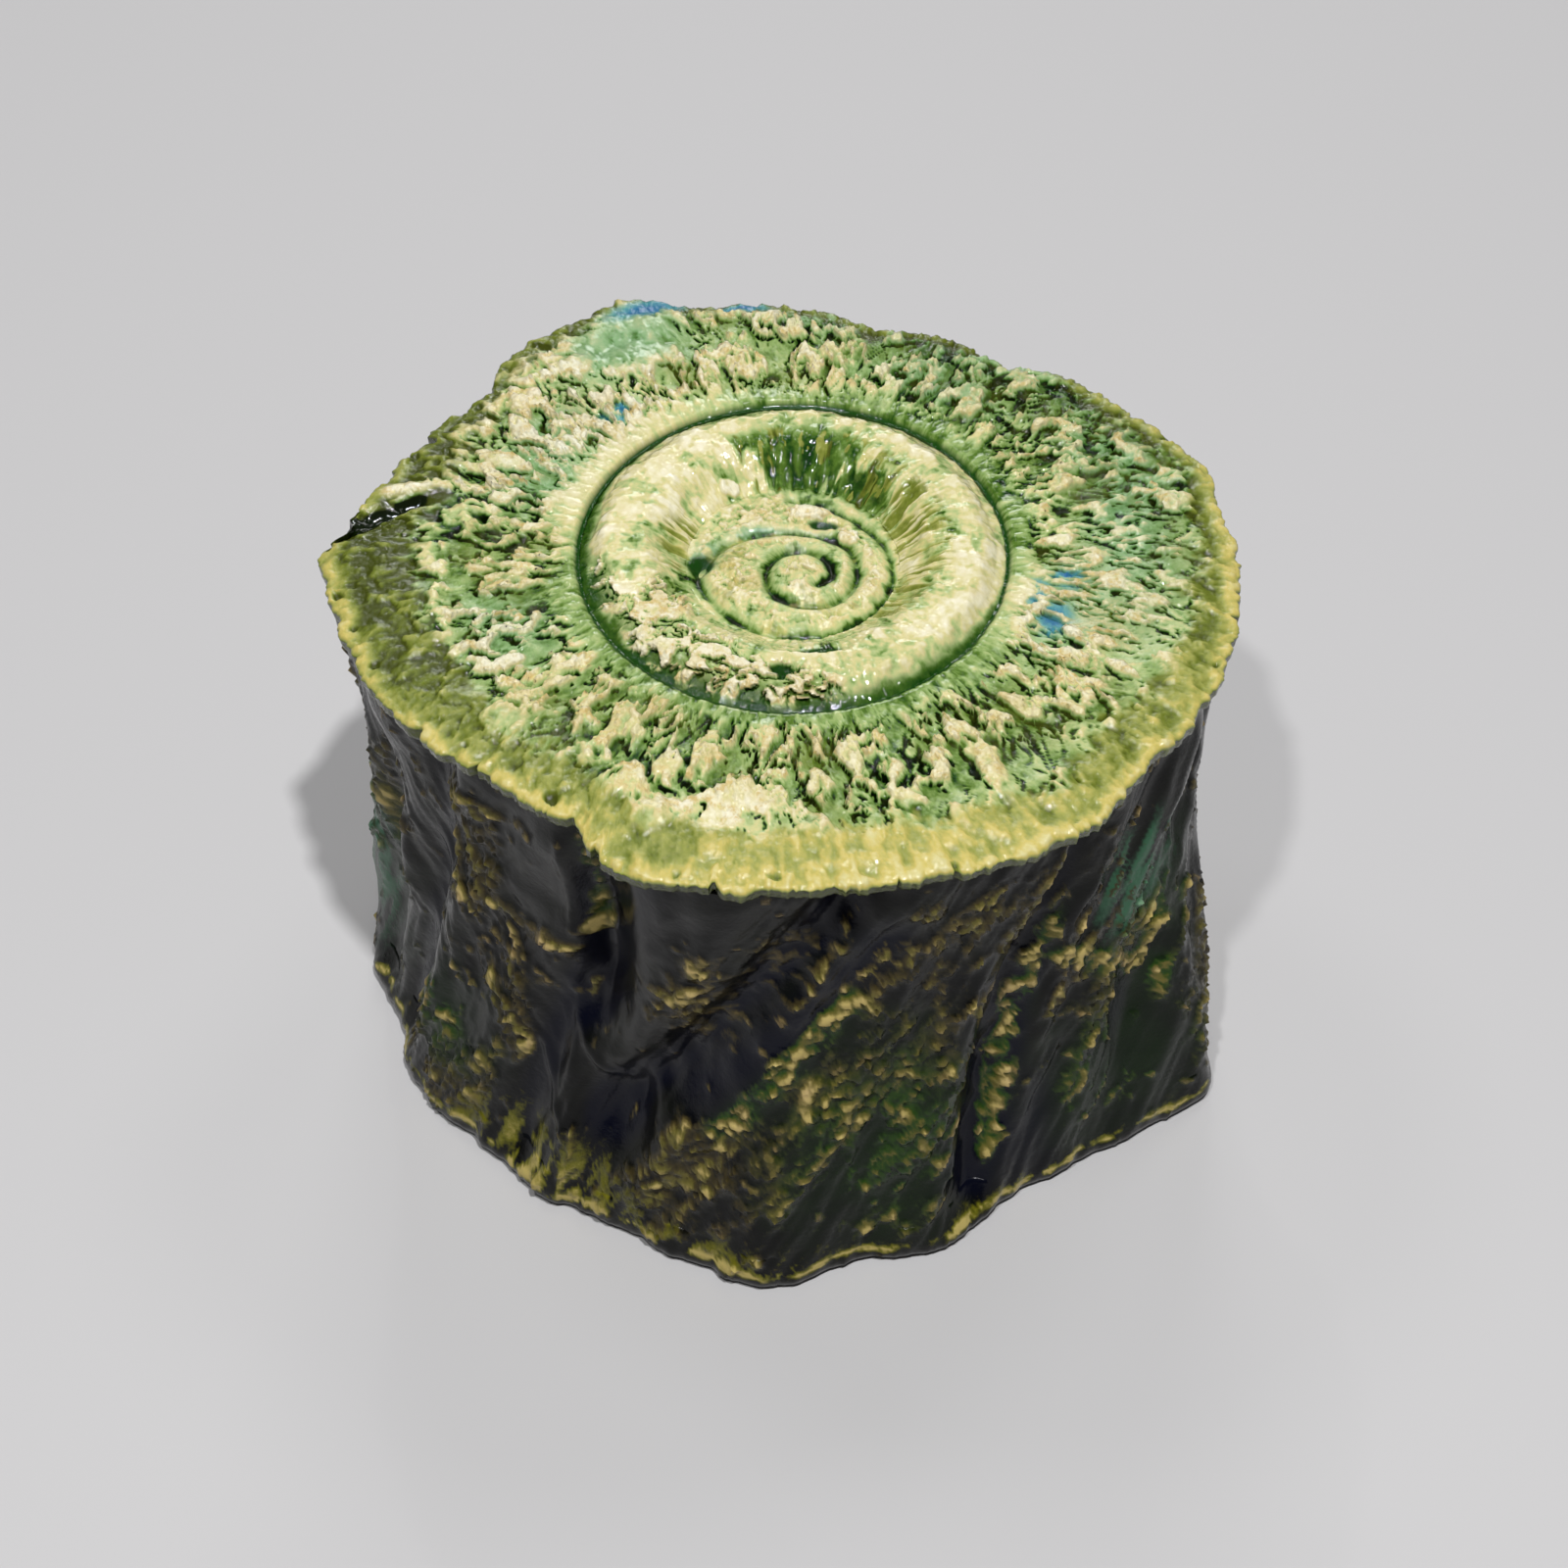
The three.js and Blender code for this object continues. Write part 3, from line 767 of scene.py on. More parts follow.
def torn_edge(outline):
    """Radius of the torn edge: the solid's outline with bites and notches taken out of it."""
    place = (angles(SLAB_COLUMNS), 0, OUTLINE_GAUGE)
    bites = clouds(place, (4.5, 1), 5, 23, 0.62)
    notches = smooth(0.45, 0.75, noise(round_point(place, 2.2, 1), 29))
    return outline - EDGE_INSET + BITE_DEPTH * np.clip(bites, -1.3, 1) - NOTCH_DEPTH * notches


def make_slab(material):
    tree = tree_of("base_slab")
    levels = wall_high[2] + np.linspace(-2, 4, 12)
    outline = read_round(radius_at(tree, levels).max(0), SLAB_COLUMNS)
    edge_radius = torn_edge(outline)

    # The face, from the groove to the shoulder
    share = np.linspace(0, 1, FACE_ROWS)[:, None]
    face_r = RING_OUTER + (edge_radius - SHOULDER - RING_OUTER) * share
    face_z, lumps = face_base(outline, face_r)
    groove_floor = height_at(tree, np.full((1, CAD_COLUMNS), GROOVE_MIDDLE)).mean()
    into_groove = smooth(RING_OUTER + 1.1, RING_OUTER + 0.3, face_r)
    face_z -= (face_z[0] - filled(groove_floor)) * into_groove

    # The shoulder and the torn edge under it
    bend = np.radians(SHOULDER_BEND)[:, None]
    inset = SHOULDER * (1 - np.sin(bend))
    round_r = edge_radius - inset
    round_z = face_z[-1] - SHOULDER_FALL * SHOULDER * (1 - np.cos(bend))
    back, down, kept = UNDER_ROWS.T[:, :, None]
    under_r = edge_radius - UNDERCUT * back
    under_z = face_z[-1] - EDGE_DEPTH * down
    edge = stack(SLAB_COLUMNS, edge_radius - face_r, inset * (bend < math.pi / 2), 0 * back)
    radius = np.vstack([face_r, round_r, under_r])
    height = np.vstack([face_z, round_z, under_z])
    lumps = add_rows(lumps, 0, len(radius) - FACE_ROWS)
    relief, values = slab_relief(angles(SLAB_COLUMNS)[None, :], radius, edge, lumps)
    # Painted shade: the colour is darkened down the underside of the torn edge, under its overhang
    values["yellow"] = values["yellow"] - UNDER_EDGE_PAINTED_SHADE * smooth(0.2, 1.3, face_z[-1] - height)
    relief[-len(kept):] *= kept
    radius, height = push_out(radius, height, relief)
    radius = np.minimum(radius, outline)
    height = np.minimum(height, CREST)

    # The seat of the foot, and the plug that is hidden inside the wall
    plug = read_round(radius_at(tree, [slab_low[2] + RAY_INSET])[0], SLAB_COLUMNS)
    radius = stack(SLAB_COLUMNS, HIDDEN_POLE, RING_OUTER, radius, plug, plug, HIDDEN_POLE)
    height = stack(SLAB_COLUMNS, SEAT, SEAT, height, height[-1], slab_low[2], slab_low[2])
    values = extended(values, 2, 3)
    piece = shell("base_slab_crust", wrap(radius, height), values, (SEAT, slab_low[2]))
    settle(piece, "base_slab", material)


def crust_glaze(name):
    """Pale glaze that turns from black green in the cracks to cream on the torn tops."""
    f = Finish(name)
    fine = f.cloud(0.9, 5, 0.65)
    blotch = f.cloud(7, 3)
    rise = f.wobble(f.wobble(f.value("rise"), fine, 0.26), blotch, 0.22)
    torn = f.ramp(rise, [(0.0, BLACK_GREEN), (0.1, DEEP_GREEN), (0.21, GREEN), (0.32, MINT),
                         (0.45, PALE_MINT), (0.6, CREAM), (0.9, PALE_CREAM)])
    tops = f.range(rise, 0.5, 0.75)
    teal = f.patchy("teal", blotch, 0.8, 0.2, 1.1)
    teal = f.times(teal, f.scaled(tops, -0.8, 1.0))
    crusty = f.scaled(f.value("torn"), 0.75, 0.15)
    warm = f.times(f.range(f.wobble(f.cloud(1.5, 5, 0.7), blotch, 0.4), 0.46, 0.66), tops)
    torn = f.mix(f.times(warm, crusty), torn, OCHRE)
    torn = f.mix(teal, torn, COOL_TINT, "MULTIPLY")
    tint = f.range(f.cloud(11, 4, 0.65), 0.45, 0.7)
    tinted = f.mix(f.times(tint, 0.6), torn, f.mix(tops, OLIVE, OCHRE))
    band = f.ramp(f.wobble(f.wobble(f.value("yellow"), fine, 0.22), blotch, 0.3),
                  [(0.0, DARK_OLIVE), (0.25, OLIVE), (0.5, GREEN_YELLOW), (0.78, YELLOW), (1.0, CREAM)])
    torn = f.mix(crusty, torn, tinted)
    colour = f.mix(f.patchy("olive", blotch, 0.4, 0.2, 0.8), torn, band)
    colour = f.mix(f.value("deep"), colour, DEEP_GREEN)
    blue = f.wobble(f.value("blue"), fine, 0.5)
    colour = f.mix(f.times(f.range(blue, 0.25, 0.8), 0.8), colour, TURQUOISE)
    colour = f.mix(f.range(blue, 0.6, 1.1), colour, BLUE)
    grain = f.bump(f.specks(0.7), 0.25, f.times(crusty, f.scaled(tops, 0.5, 0.5)))
    normal = f.bump(fine, 0.25, f.scaled(crusty, 0.75, 0.04), grain)
    rough = f.scaled(f.times(tops, crusty), 0.3, 0.06)
    rough = f.scaled(f.value("olive"), 0.06, rough)
    return f.done(colour, rough, normal, 0.15, 0.03, 1.45)


# The foot
FOOT_GAUGE = 20
SLOPE_GAUGE = 18
RIM_GAUGE = 22
RING_ROWS = 88
RING_RAYS = 44
BOSS_ROWS = 88
BOSS_MIDDLE = 0.15
FOOT_LEAN = (0.7, 0.7)
BOSS_EDGE = 12.4  # where the boss ends and the slope starts
INNER_EDGE = 20.0  # where the ring starts to fall towards the boss
OUTER_EDGE = 24.7  # and towards the groove

# Patches of the foot: degrees, radius, half length in degrees and half width.
TORN_RIM = [(-126, 24, 34, 5.5), (-96, 25, 22, 4), (-150, 19, 14, 4), (-165, 26, 12, 2)]
DARK_SLOPE = [(84, 18, 26, 7), (54, 15, 20, 4), (106, 22, 10, 4)]
BROWN_SLOPE = [(16, 17, 38, 6), (-24, 16, 26, 4), (56, 19, 24, 5), (170, 15, 20, 3)]
SMOOTH_RING = [(-12, 24.5, 50, 4), (145, 22, 44, 7), (35, 24.5, 22, 3)]

# The spiral groove of the foot, from outside to inside, and what lies on the boss, in millimetres.
SPIRAL = [(0, 12), (7, 9), (12.2, 3.6), (13.2, -2.5), (11.2, -7.8), (7, -11.6), (1.5, -13), (-5, -11.8),
          (-10, -7.6), (-12.6, -2), (-9.4, 2.8), (-4, 4.8), (2, 4.8), (7, 2.6), (8.6, -2),
          (6.8, -6.4), (2.6, -8.2), (-2, -6.8), (-3.6, -3), (-2, 0.4), (1.6, 1.4), (4.6, -0.4),
          (5, -3), (3.4, -4.4)]
SPIRAL_STEPS = 420
SPIRAL_WIDTH = 0.55
SPIRAL_DEPTH = 0.6
POOL_DEPTH = 1.3
LOOSE_HEIGHT = 0.6

# Pools of glaze and loose flakes on the boss: two middles and two half sizes in millimetres.
POOLS = [(-12.2, 0.2, 2.2, 1.9), (4.2, 6.6, 2.4, 0.9), (-1.5, -22.5, 2.0, 1.3), (3.6, -18.5, 3.0, 1.1)]
HALO = [(-11.5, 1.6, 4.2, 3.2), (-5, 5.2, 5, 1.6)]
LOOSE_FLAKES = [(2.0, 8.8, 3.4, 1.6), (-8.5, 13.2, 1.6, 1.2), (-12, -19, 1.8, 1.2), (7.4, 4.2, 1.6, 1.6)]


def spiral_distance(x, y):
    """Distance to the spiral groove."""
    route = read_at(np.array(SPIRAL, float).T, np.linspace(0, len(SPIRAL) - 1, SPIRAL_STEPS), False)
    nearest = np.full(x.shape, np.inf)
    for px, py in route.T:
        nearest = np.minimum(nearest, np.hypot(x - px, y - py))
    return nearest


def rim_glaze(angle, radius):
    """The deep green glaze that gathers at the foot's rim, wider at the front than at the back."""
    front = smooth(-0.55, 0.5, -np.sin(angle + math.radians(25)))
    return smooth(mix(front, 28.0, 26.0), mix(front, 28.8, 27.8), radius)


def foot_relief(angle, radius, line):
    """Relief of the foot and what its glaze does. line is the distance from the spiral groove."""
    degrees = np.degrees(angle)
    x, y = radius * np.cos(angle), radius * np.sin(angle)
    foot = (angle, radius, FOOT_GAUGE)
    flat = np.stack(np.broadcast_arrays(x, y, 0 * x), -1)
    rim = smooth(0.25, 0.7, patches(degrees, radius, TORN_RIM) + 0.12 * noise(flat / 3, 2))
    ragged = clouds(foot, (1.6, 4.0), 3, 45, 0.6, (0.4, 45))
    dark = smooth(0.3, 0.62, patches(degrees, radius, DARK_SLOPE) + 0.3 * ragged)
    brown = patches(degrees, radius, BROWN_SLOPE)
    even = smooth(0.3, 0.8, patches(degrees, radius, SMOOTH_RING))
    boss = smooth(BOSS_EDGE + 1.2, BOSS_EDGE, radius)

    coarse = layered(warped(flat / np.array([3.4, 2.6, 1]), 0.6, 5), 4, 81, 0.58)
    raised, crack = flakes(coarse + 0.12, lean_of(coarse, angle, radius, FOOT_LEAN))
    grain = grains(flat / 0.75, 15)
    lump = layered(flat / 4.2, 2, 95)
    soft = layered(flat / 1.5, 3, 91, 0.6)
    fibre = clouds((angle, radius, RIM_GAUGE), (0.8, 5), 3, 37, 0.6)
    stroke = clouds(foot, (1.5, 8), 3, 33, 0.55, (0.25, 6))
    groove = smooth(-0.1, 0.4, -stroke)
    slope = smooth(INNER_EDGE + 4, INNER_EDGE, radius) * smooth(12.6, 14.5, radius)
    outer = smooth(OUTER_EDGE, OUTER_EDGE + 1.6, radius)
    by_line = smooth(2.4, 0.9, line)

    torn = np.maximum(rim * smooth(28, 26.4, radius), 0.45 * boss) * (1 - by_line)
    scales = grains(warped(round_point((angle, radius, SLOPE_GAUGE), 1.4, 3.2), 0.3, 18), 19)
    calm = 1 - 0.8 * smooth(0.2, 0.6, dark)
    calm *= 1 - 0.8 * by_line
    fine = (0.16 - 0.06 * even) * soft + 0.05 * fibre + 0.25 * boss * (grain - 0.5)
    relief = 0.35 * lump * (1 - 0.5 * by_line) + calm * fine
    relief += torn * (0.9 * (raised - 0.75) + 0.3 * raised * (grain - 0.4) - 0.6 * crack)
    relief -= 0.3 * slope * brown * groove * (1 - dark)
    relief += 0.7 * slope * dark * (smooth(0.1, 0.8, scales) - 0.5)
    cut = hump(line, 0, SPIRAL_WIDTH)
    relief = relief - SPIRAL_DEPTH * cut - 0.5 * hump(line, 0, 2.0) + 0.2 * hump(line, 1.6, 0.7)
    pool = patches(x, y, POOLS, False)
    loose = smooth(0.35, 0.6, patches(x, y, LOOSE_FLAKES, False) + 0.1 * soft)
    relief = relief - POOL_DEPTH * pool + LOOSE_HEIGHT * loose

    deep = np.clip(sunk(relief, 20), -0.4, 0.6)
    tint = layered(flat / 6, 3, 99, 0.6)
    veil = smooth(0.05, 0.5, layered(flat / 3.2, 3, 58, 0.6))
    rise = 0.6 + 0.14 * even + 0.12 * lump + 0.26 * tint + 0.1 * soft + 0.05 * fibre - 0.5 * deep
    rise = rise - 0.2 * veil - (0.04 + 0.12 * slope) * smooth(0.1, 0.6, stroke)
    broken = 0.42 + 0.16 * boss + 0.3 * raised + 0.16 * (grain - 0.4)
    broken = broken - (0.45 - 0.3 * boss) * crack - 0.6 * deep
    rise = mix(torn, rise, broken)
    rise = rise - 0.2 * cut - 0.12 * hump(line, 0, 2.0) - 0.5 * smooth(0.2, 0.8, pool) + 0.3 * loose
    shaded = slope * dark
    in_scales = 0.07 + 0.14 * smooth(0, 0.7, scales) + 0.05 * soft
    rise = mix(shaded, rise, in_scales)
    streaks = slope * brown * (0.45 + 0.75 * groove) * (1 - 0.8 * dark)
    streaks = np.maximum(streaks, shaded * smooth(0.2, 0.6, ragged))
    band = rim_glaze(angle, radius + 0.35 * soft - 0.8 * rim * raised)
    rise = mix(band, rise, 0.16 + 0.06 * soft)
    values = {
        "teal": patches(x, y, HALO, False),
        "rise": rise,
        "olive": np.clip(streaks + 0.5 * boss * smooth(0.1, 0.5, tint), 0, 1),
        "yellow": 0.66 - 0.35 * groove + 0.12 * soft - 0.25 * shaded,
        "deep": np.maximum(0.6 * band + 0.4 * outer * rim * (1 - raised), smooth(0.3, 0.7, pool)),
        "torn": np.maximum(rim, 0.7 * boss),
        "blue": 0 * x,
    }
    return relief, values


def make_ring(material):
    tree = tree_of("foot_ring")
    shares = np.linspace(0, 1, RING_RAYS)
    known_r = mix(shares, RING_OUTER - RAY_INSET, BOSS_OUTER + RAY_INSET)
    known = soften(height_at(tree, known_r[:, None] + np.zeros(CAD_COLUMNS)), 1)
    height = read_grid(known, np.linspace(0, RING_RAYS - 1, RING_ROWS), RING_COLUMNS)
    height[:RING_ROWS // 2] = filled(height[:RING_ROWS // 2])
    radius = mix(np.linspace(0, 1, RING_ROWS), RING_OUTER, BOSS_OUTER)[:, None] + np.zeros(RING_COLUMNS)
    relief, values = foot_relief(angles(RING_COLUMNS)[None, :], radius, FAR)
    radius, height = push_out(radius, height, -relief)
    height = np.minimum(height, CREST)
    radius[0], radius[-1] = RING_OUTER, BOSS_OUTER
    radius = stack(RING_COLUMNS, RING_OUTER, radius, BOSS_OUTER)
    height = stack(RING_COLUMNS, ring_low[2], height, ring_low[2])
    values = {key: grid[::-1] for key, grid in extended(values, 1, 1).items()}
    piece = shell("foot_ring_crust", wrap(radius, height)[::-1], values)
    settle(piece, "foot_ring", material)


def make_boss(material):
    tree = tree_of("foot_ring")
    radius = np.linspace(BOSS_MIDDLE, BOSS_OUTER, BOSS_ROWS)[:, None] + np.zeros(BOSS_COLUMNS)
    foot = height_at(tree, np.full((1, CAD_COLUMNS), BOSS_OUTER + RAY_INSET)).mean()
    height = foot + (boss_high[2] - foot) * (1 - (radius / BOSS_OUTER) ** 2)
    angle = angles(BOSS_COLUMNS)[None, :]
    line = spiral_distance(radius * np.cos(angle), radius * np.sin(angle))
    relief, values = foot_relief(angle, radius, line)
    height += relief
    radius = stack(BOSS_COLUMNS, radius, radius[-1], HIDDEN_POLE)
    height = stack(BOSS_COLUMNS, height, boss_low[2], boss_low[2])
    values = extended(values, 0, 2)
    piece = shell("foot_spiral_crust", wrap(radius, height), values, (height[0].mean(), boss_low[2]))
    settle(piece, "foot_spiral", material)


# The wall and the lip
WALL_GAUGE = 57.0  # radius at which lengths round the wall are counted
BODY_LOW = 2.4  # lowest height at which the solids are read
BODY_STEP = 2.005
BODY_LEVELS = 36
WALL_ROWS = 108
LIP_ROUND = 2.2
LIP_TUCK = 1.5  # how far its underside lies inside its outer side
LIP_INNER_ROUND = 1.8
LIP_INNER_LEVEL = 4.5  # height at which its inner side is read
WALL_INSET = 0.55  # room for the relief inside the box
WALL_INNER_LEVELS = (60, 40, 20)
PHOTO_SIDE = -70  # middle of the photographed side, so that no angle jumps there
STREAK_LEAN = 0.55  # degrees for each millimetre of height
FAN_HEIGHT = 28.0  # where the streaks of the left side meet
FAN_ANGLE = -120.0
GRAIN_LEAN = 0.35  # millimetres aside for each millimetre of height

# Lines down the wall, in degrees and height.
NAVY_CUTS = [
    [(-72, 70), (-80, 60), (-87, 51), (-95, 42), (-103, 33), (-109, 27)],
    [(-47, 68), (-54, 58), (-58, 48), (-61.5, 35), (-64, 20), (-67, 6)],
    [(-108, 78), (-116, 60), (-119, 53)],
]
NAVY_WIDTH = 3.4
NAVY_DEPTH = 1.3
RIDGE_HEIGHT = 0.5
RIM_LINE = 3.0  # height of the ochre line above the mouth
CRUSTY_EDGES = [
    [(-79, 55), (-86, 46), (-93, 37), (-98, 30), (-103, 24)],
    [(-46, 60), (-52, 48), (-56, 34), (-59, 20), (-62, 6)],
    [(-121, 76), (-120.5, 64), (-120, 50)],
    [(-53, 49), (-43, 42), (-34, 33), (-27, 26)],
]
RIDGES = [
    [(-124.5, 76), (-124, 62), (-123.5, 50)],
    [(-126, 44), (-124, 34), (-118, 28), (-112, 27)],
    [(-131, 30), (-127, 20), (-123, 13)],
]
# Patches of the wall: degrees, height, half width in degrees and half height.
RIBBED_PATCHES = [(-100, 48, 8, 10), (-91, 58, 7, 8)]
CRUST_PATCHES = [
    (-140, 56, 9, 18), (-76, 34, 21, 28), (-100, 20, 14, 15), (-39, 34, 15, 18), (-78, 60, 14, 10),
    (-104, 48, 8, 7), (-134, 30, 6, 14), (-145, 14, 15, 10), (-112, 10, 16, 9), (-58, 62, 16, 9),
    (20, 44, 17, 22), (66, 30, 19, 20), (98, 52, 16, 18), (130, 26, 18, 19), (164, 50, 15, 20),
    (-170, 40, 10, 18), (-20, 20, 12, 14),
]
TURQUOISE_PATCHES = [(-34, 52, 9, 10), (150, 60, 7, 9), (74, 58, 8, 6), (-178, 28, 6, 22)]
GREEN_PATCHES = [(-76, 26, 22, 26), (-40, 18, 18, 20), (-170, 26, 12, 22), (40, 24, 16, 20),
                 (104, 20, 22, 22), (-150, 22, 15, 14), (-28, 44, 12, 18)]
RIM_STAINS = [(-126, 6, 18, 8), (-100, 3, 16, 5), (-60, 2, 14, 3), (20, 3, 20, 5), (90, 3, 24, 5),
              (160, 3, 16, 5)]


def body_base():
    """The wall's and lip's outer radius in the solids, and how far it lies inside its surroundings."""
    heights = BODY_LOW + BODY_STEP * np.arange(BODY_LEVELS)
    known = soften(radius_at(tree_of("wall", "lip"), heights), 1, False)
    return known, sunk(known, 40)


BODY_RADIUS, BODY_HOLLOW = body_base()


def on_lines(degrees, height, lines, middle, width):
    """1 on some lines of the wall, or so far beside them, fading to the sides and towards the ends."""
    nearest, along = FAR + 0 * degrees * height, 0 * degrees * height
    x = np.radians(turn(degrees, PHOTO_SIDE) + PHOTO_SIDE) * WALL_GAUGE
    for line in lines:
        route = [(math.radians(d) * WALL_GAUGE, z) for d, z in line]
        distance, passed = from_line(x, height, route)
        closer = np.abs(distance) < np.abs(nearest)
        nearest, along = np.where(closer, distance, nearest), np.where(closer, passed, along)
    return hump(nearest, middle, width) * tapered(along)


def flow_angle(degrees, height):
    """The angle at which the streak through each place crosses the fan's height. Streaks lean one
    way on most of the wall and the other way on its left, where they fan out upwards."""
    above = height - FAN_HEIGHT
    wide = 10 + 0.95 * np.maximum(above, 0)
    degrees = turn(degrees, PHOTO_SIDE) + PHOTO_SIDE
    right = np.clip((degrees - FAN_ANGLE) / wide + 0.5, 0, 1)
    behind = np.clip((-175 - degrees) / 75, 0, 1)
    on_left = np.where(above > 0, -0.4, 0.3) * above
    return np.radians(degrees - mix(np.maximum(right, behind), on_left, STREAK_LEAN * above))


def cobbled(slanted, thick):
    """Grains of crust, large ones where it is thick and small ones elsewhere."""
    large = smooth(0.2, 0.8, grains(warped(round_point(slanted, 2.0, 1.8), 0.4, 26), 26))
    small = smooth(0.2, 0.8, grains(warped(round_point(slanted, 1.1, 1.2), 0.4, 36), 36))
    return mix(smooth(-0.3, 0.3, thick), small, large)


def rim_line(upright, rows, clump):
    """The broken ochre line just above the mouth, and under it the painted shade where the lip turns under
    towards the floor.
    """
    height = upright[1]
    level = RIM_LINE + 1.2 * clouds(upright, (7, 50), 3, 66)
    width = np.maximum(0.6 + 0.4 * clump, 0.35)
    line = hump(height, level + 0.3, width) * smooth(-0.9, 0.3, rows + clump)
    return line, smooth(level, level - 1.4, height)


def body_surface(angle, height):
    """Radius of the wall and lip over a grid of angles and heights, and what their glaze does."""
    place = np.clip((height[:, 0] - BODY_LOW) / BODY_STEP, 0, BODY_LEVELS - 1)
    base = read_grid(BODY_RADIUS, place, angle.shape[-1])
    hollow = read_grid(BODY_HOLLOW, place, angle.shape[-1])
    angle, height = np.broadcast_arrays(angle, height)
    degrees = np.degrees(angle)
    upright = (angle, height, WALL_GAUGE)
    flowing = (flow_angle(degrees, height), height, WALL_GAUGE)
    slanted = (angle - GRAIN_LEAN * height / WALL_GAUGE, height, WALL_GAUGE)

    fold = clouds(flowing, (9, 42), 3, 7)
    streak = clouds(flowing, (2.6, 15), 3, 13, 0.55, (0.4, 4))
    hair = clouds(flowing, (0.9, 7), 2, 19)

    slot = on_lines(degrees, height, NAVY_CUTS, 0, NAVY_WIDTH)
    edge_crust = on_lines(degrees, height, CRUSTY_EDGES, 0.4, 2.1)
    ridge_line = on_lines(degrees, height, RIDGES, 0, 0.9)

    # Flat ribs lie above the first cut
    ribbed = smooth(0.2, 0.6, patches(degrees, height, RIBBED_PATCHES) + 0.2 * streak) * (1 - slot)
    ribs = ribbed * smooth(0.3, 0.75, grains(warped(round_point(upright, 3.2, 1.5), 0.5, 46), 46))

    # Crust stands in grains, close together where it is thick
    region = patches(degrees, height, CRUST_PATCHES) * smooth(1.6, 0.4, hollow)
    region = np.maximum(region * (1 - slot), 1.2 * edge_crust)
    rows = clouds(flowing, (3.0, 5.0), 4, 47, 0.6, (0.5, 21))
    clump = clouds(flowing, (5, 9), 3, 52, 0.6)
    field = 0.7 * rows + 0.7 * clump + 1.3 * region - 0.78
    crust = smooth(-0.3, 0.5, field)
    cobble = cobbled(slanted, clump + 0.8 * edge_crust - 0.1)
    grain = grains(round_point(upright, 0.9, 0.8), 28)
    dots = noise(round_point(upright, 2.0, 1.9), 57)
    speck = smooth(0.5, 0.75, dots + 0.25 * clump) * smooth(1.5, 0.3, hollow)

    relief = 0.85 * fold + 0.3 * streak + 0.08 * hair * (1 + fold)
    relief = relief - NAVY_DEPTH * slot + RIDGE_HEIGHT * ridge_line
    relief = relief + crust * (0.95 * cobble + 0.25 * grain - 0.1) + 0.35 * speck + 0.4 * ribs
    relief -= np.maximum(relief, 0) * smooth(69, 74, height)

    line, under = rim_line(upright, rows, clump)
    stain = patches(degrees, height, RIM_STAINS) * smooth(-0.7, 0.5, rows + streak)
    bright = np.clip(0.42 + 0.6 * rows + 0.5 * clump + 0.8 * edge_crust, 0.2, 1.2)
    tips = crust * (0.12 + bright * (0.8 * cobble + 0.2 * grain)) + 0.5 * speck
    tips += ribs * (0.3 + 0.2 * grain + 0.2 * clump)
    values = {
        "crust": np.clip(tips, 0, 1.2),
        "mottle": smooth(-0.9, 0.5, field),
        "olive": np.clip(0.3 + 0.5 * clump + 0.5 * region, 0, 1),
        "navy": np.clip(smooth(0.9, 2.4, hollow) + slot, 0, 1),
        "green": patches(degrees, height, GREEN_PATCHES) + 0.9 * edge_crust,
        "turquoise": 1.3 * patches(degrees, height, TURQUOISE_PATCHES) * smooth(-0.6, 0.4, streak + 0.2),
        # under is painted shade: near black below the ochre line, with the stains taken away there
        "rim": np.clip(0.8 * stain + line, 0, 1) * (1 - under),
        "under": under,
    }
    return base - WALL_INSET + relief, values


def make_wall(material):
    angle = angles(WALL_COLUMNS)[None, :]
    top = wall_high[2] + SEAM
    height = np.linspace(LIP_SEAM, top, WALL_ROWS)[:, None]
    radius, values = body_surface(angle, height)
    inside = read_round(radius_at(tree_of("wall"), WALL_INNER_LEVELS, False), WALL_COLUMNS)
    radius = stack(WALL_COLUMNS, radius, inside, inside[-1])
    height = stack(WALL_COLUMNS, height, top, *WALL_INNER_LEVELS[1:], LIP_SEAM)
    points = np.clip(wrap(radius, height), BOX[0], BOX[1])
    values = {key: grid[::-1] for key, grid in extended(values, 0, 4).items()}
    settle(shell("wall_glazed", points[::-1], values), "wall", material)


def make_lip(material):
    angle = angles(WALL_COLUMNS)[None, :]
    straight = np.linspace(LIP_SEAM, LIP_ROUND, 8)[:, None]
    bend = np.radians(np.linspace(10, 90, 9))[:, None]
    heights = np.vstack([straight, LIP_ROUND * (1 - np.sin(bend))])
    radius, values = body_surface(angle, heights)
    last = radius[len(straight) - 1]
    below = radius[len(straight):]
    radius[len(straight):] = last - LIP_TUCK * (1 - np.cos(bend)) + 0.3 * (below - last)
    inside = read_round(radius_at(tree_of("lip"), [LIP_INNER_LEVEL], False)[0], WALL_COLUMNS)
    inner = np.radians(np.linspace(0, 90, 7))[:, None]
    inner_r = inside + LIP_INNER_ROUND * (1 - np.sin(inner))
    inner_z = LIP_INNER_ROUND * (1 - np.cos(inner))
    radius = stack(WALL_COLUMNS, radius, inner_r, inside)
    height = stack(WALL_COLUMNS, heights, inner_z, LIP_SEAM)
    points = np.clip(wrap(radius, height), BOX[0], BOX[1])
    values = extended(values, 0, 8)
    settle(shell("lip_glazed", points, values), "lip", material)


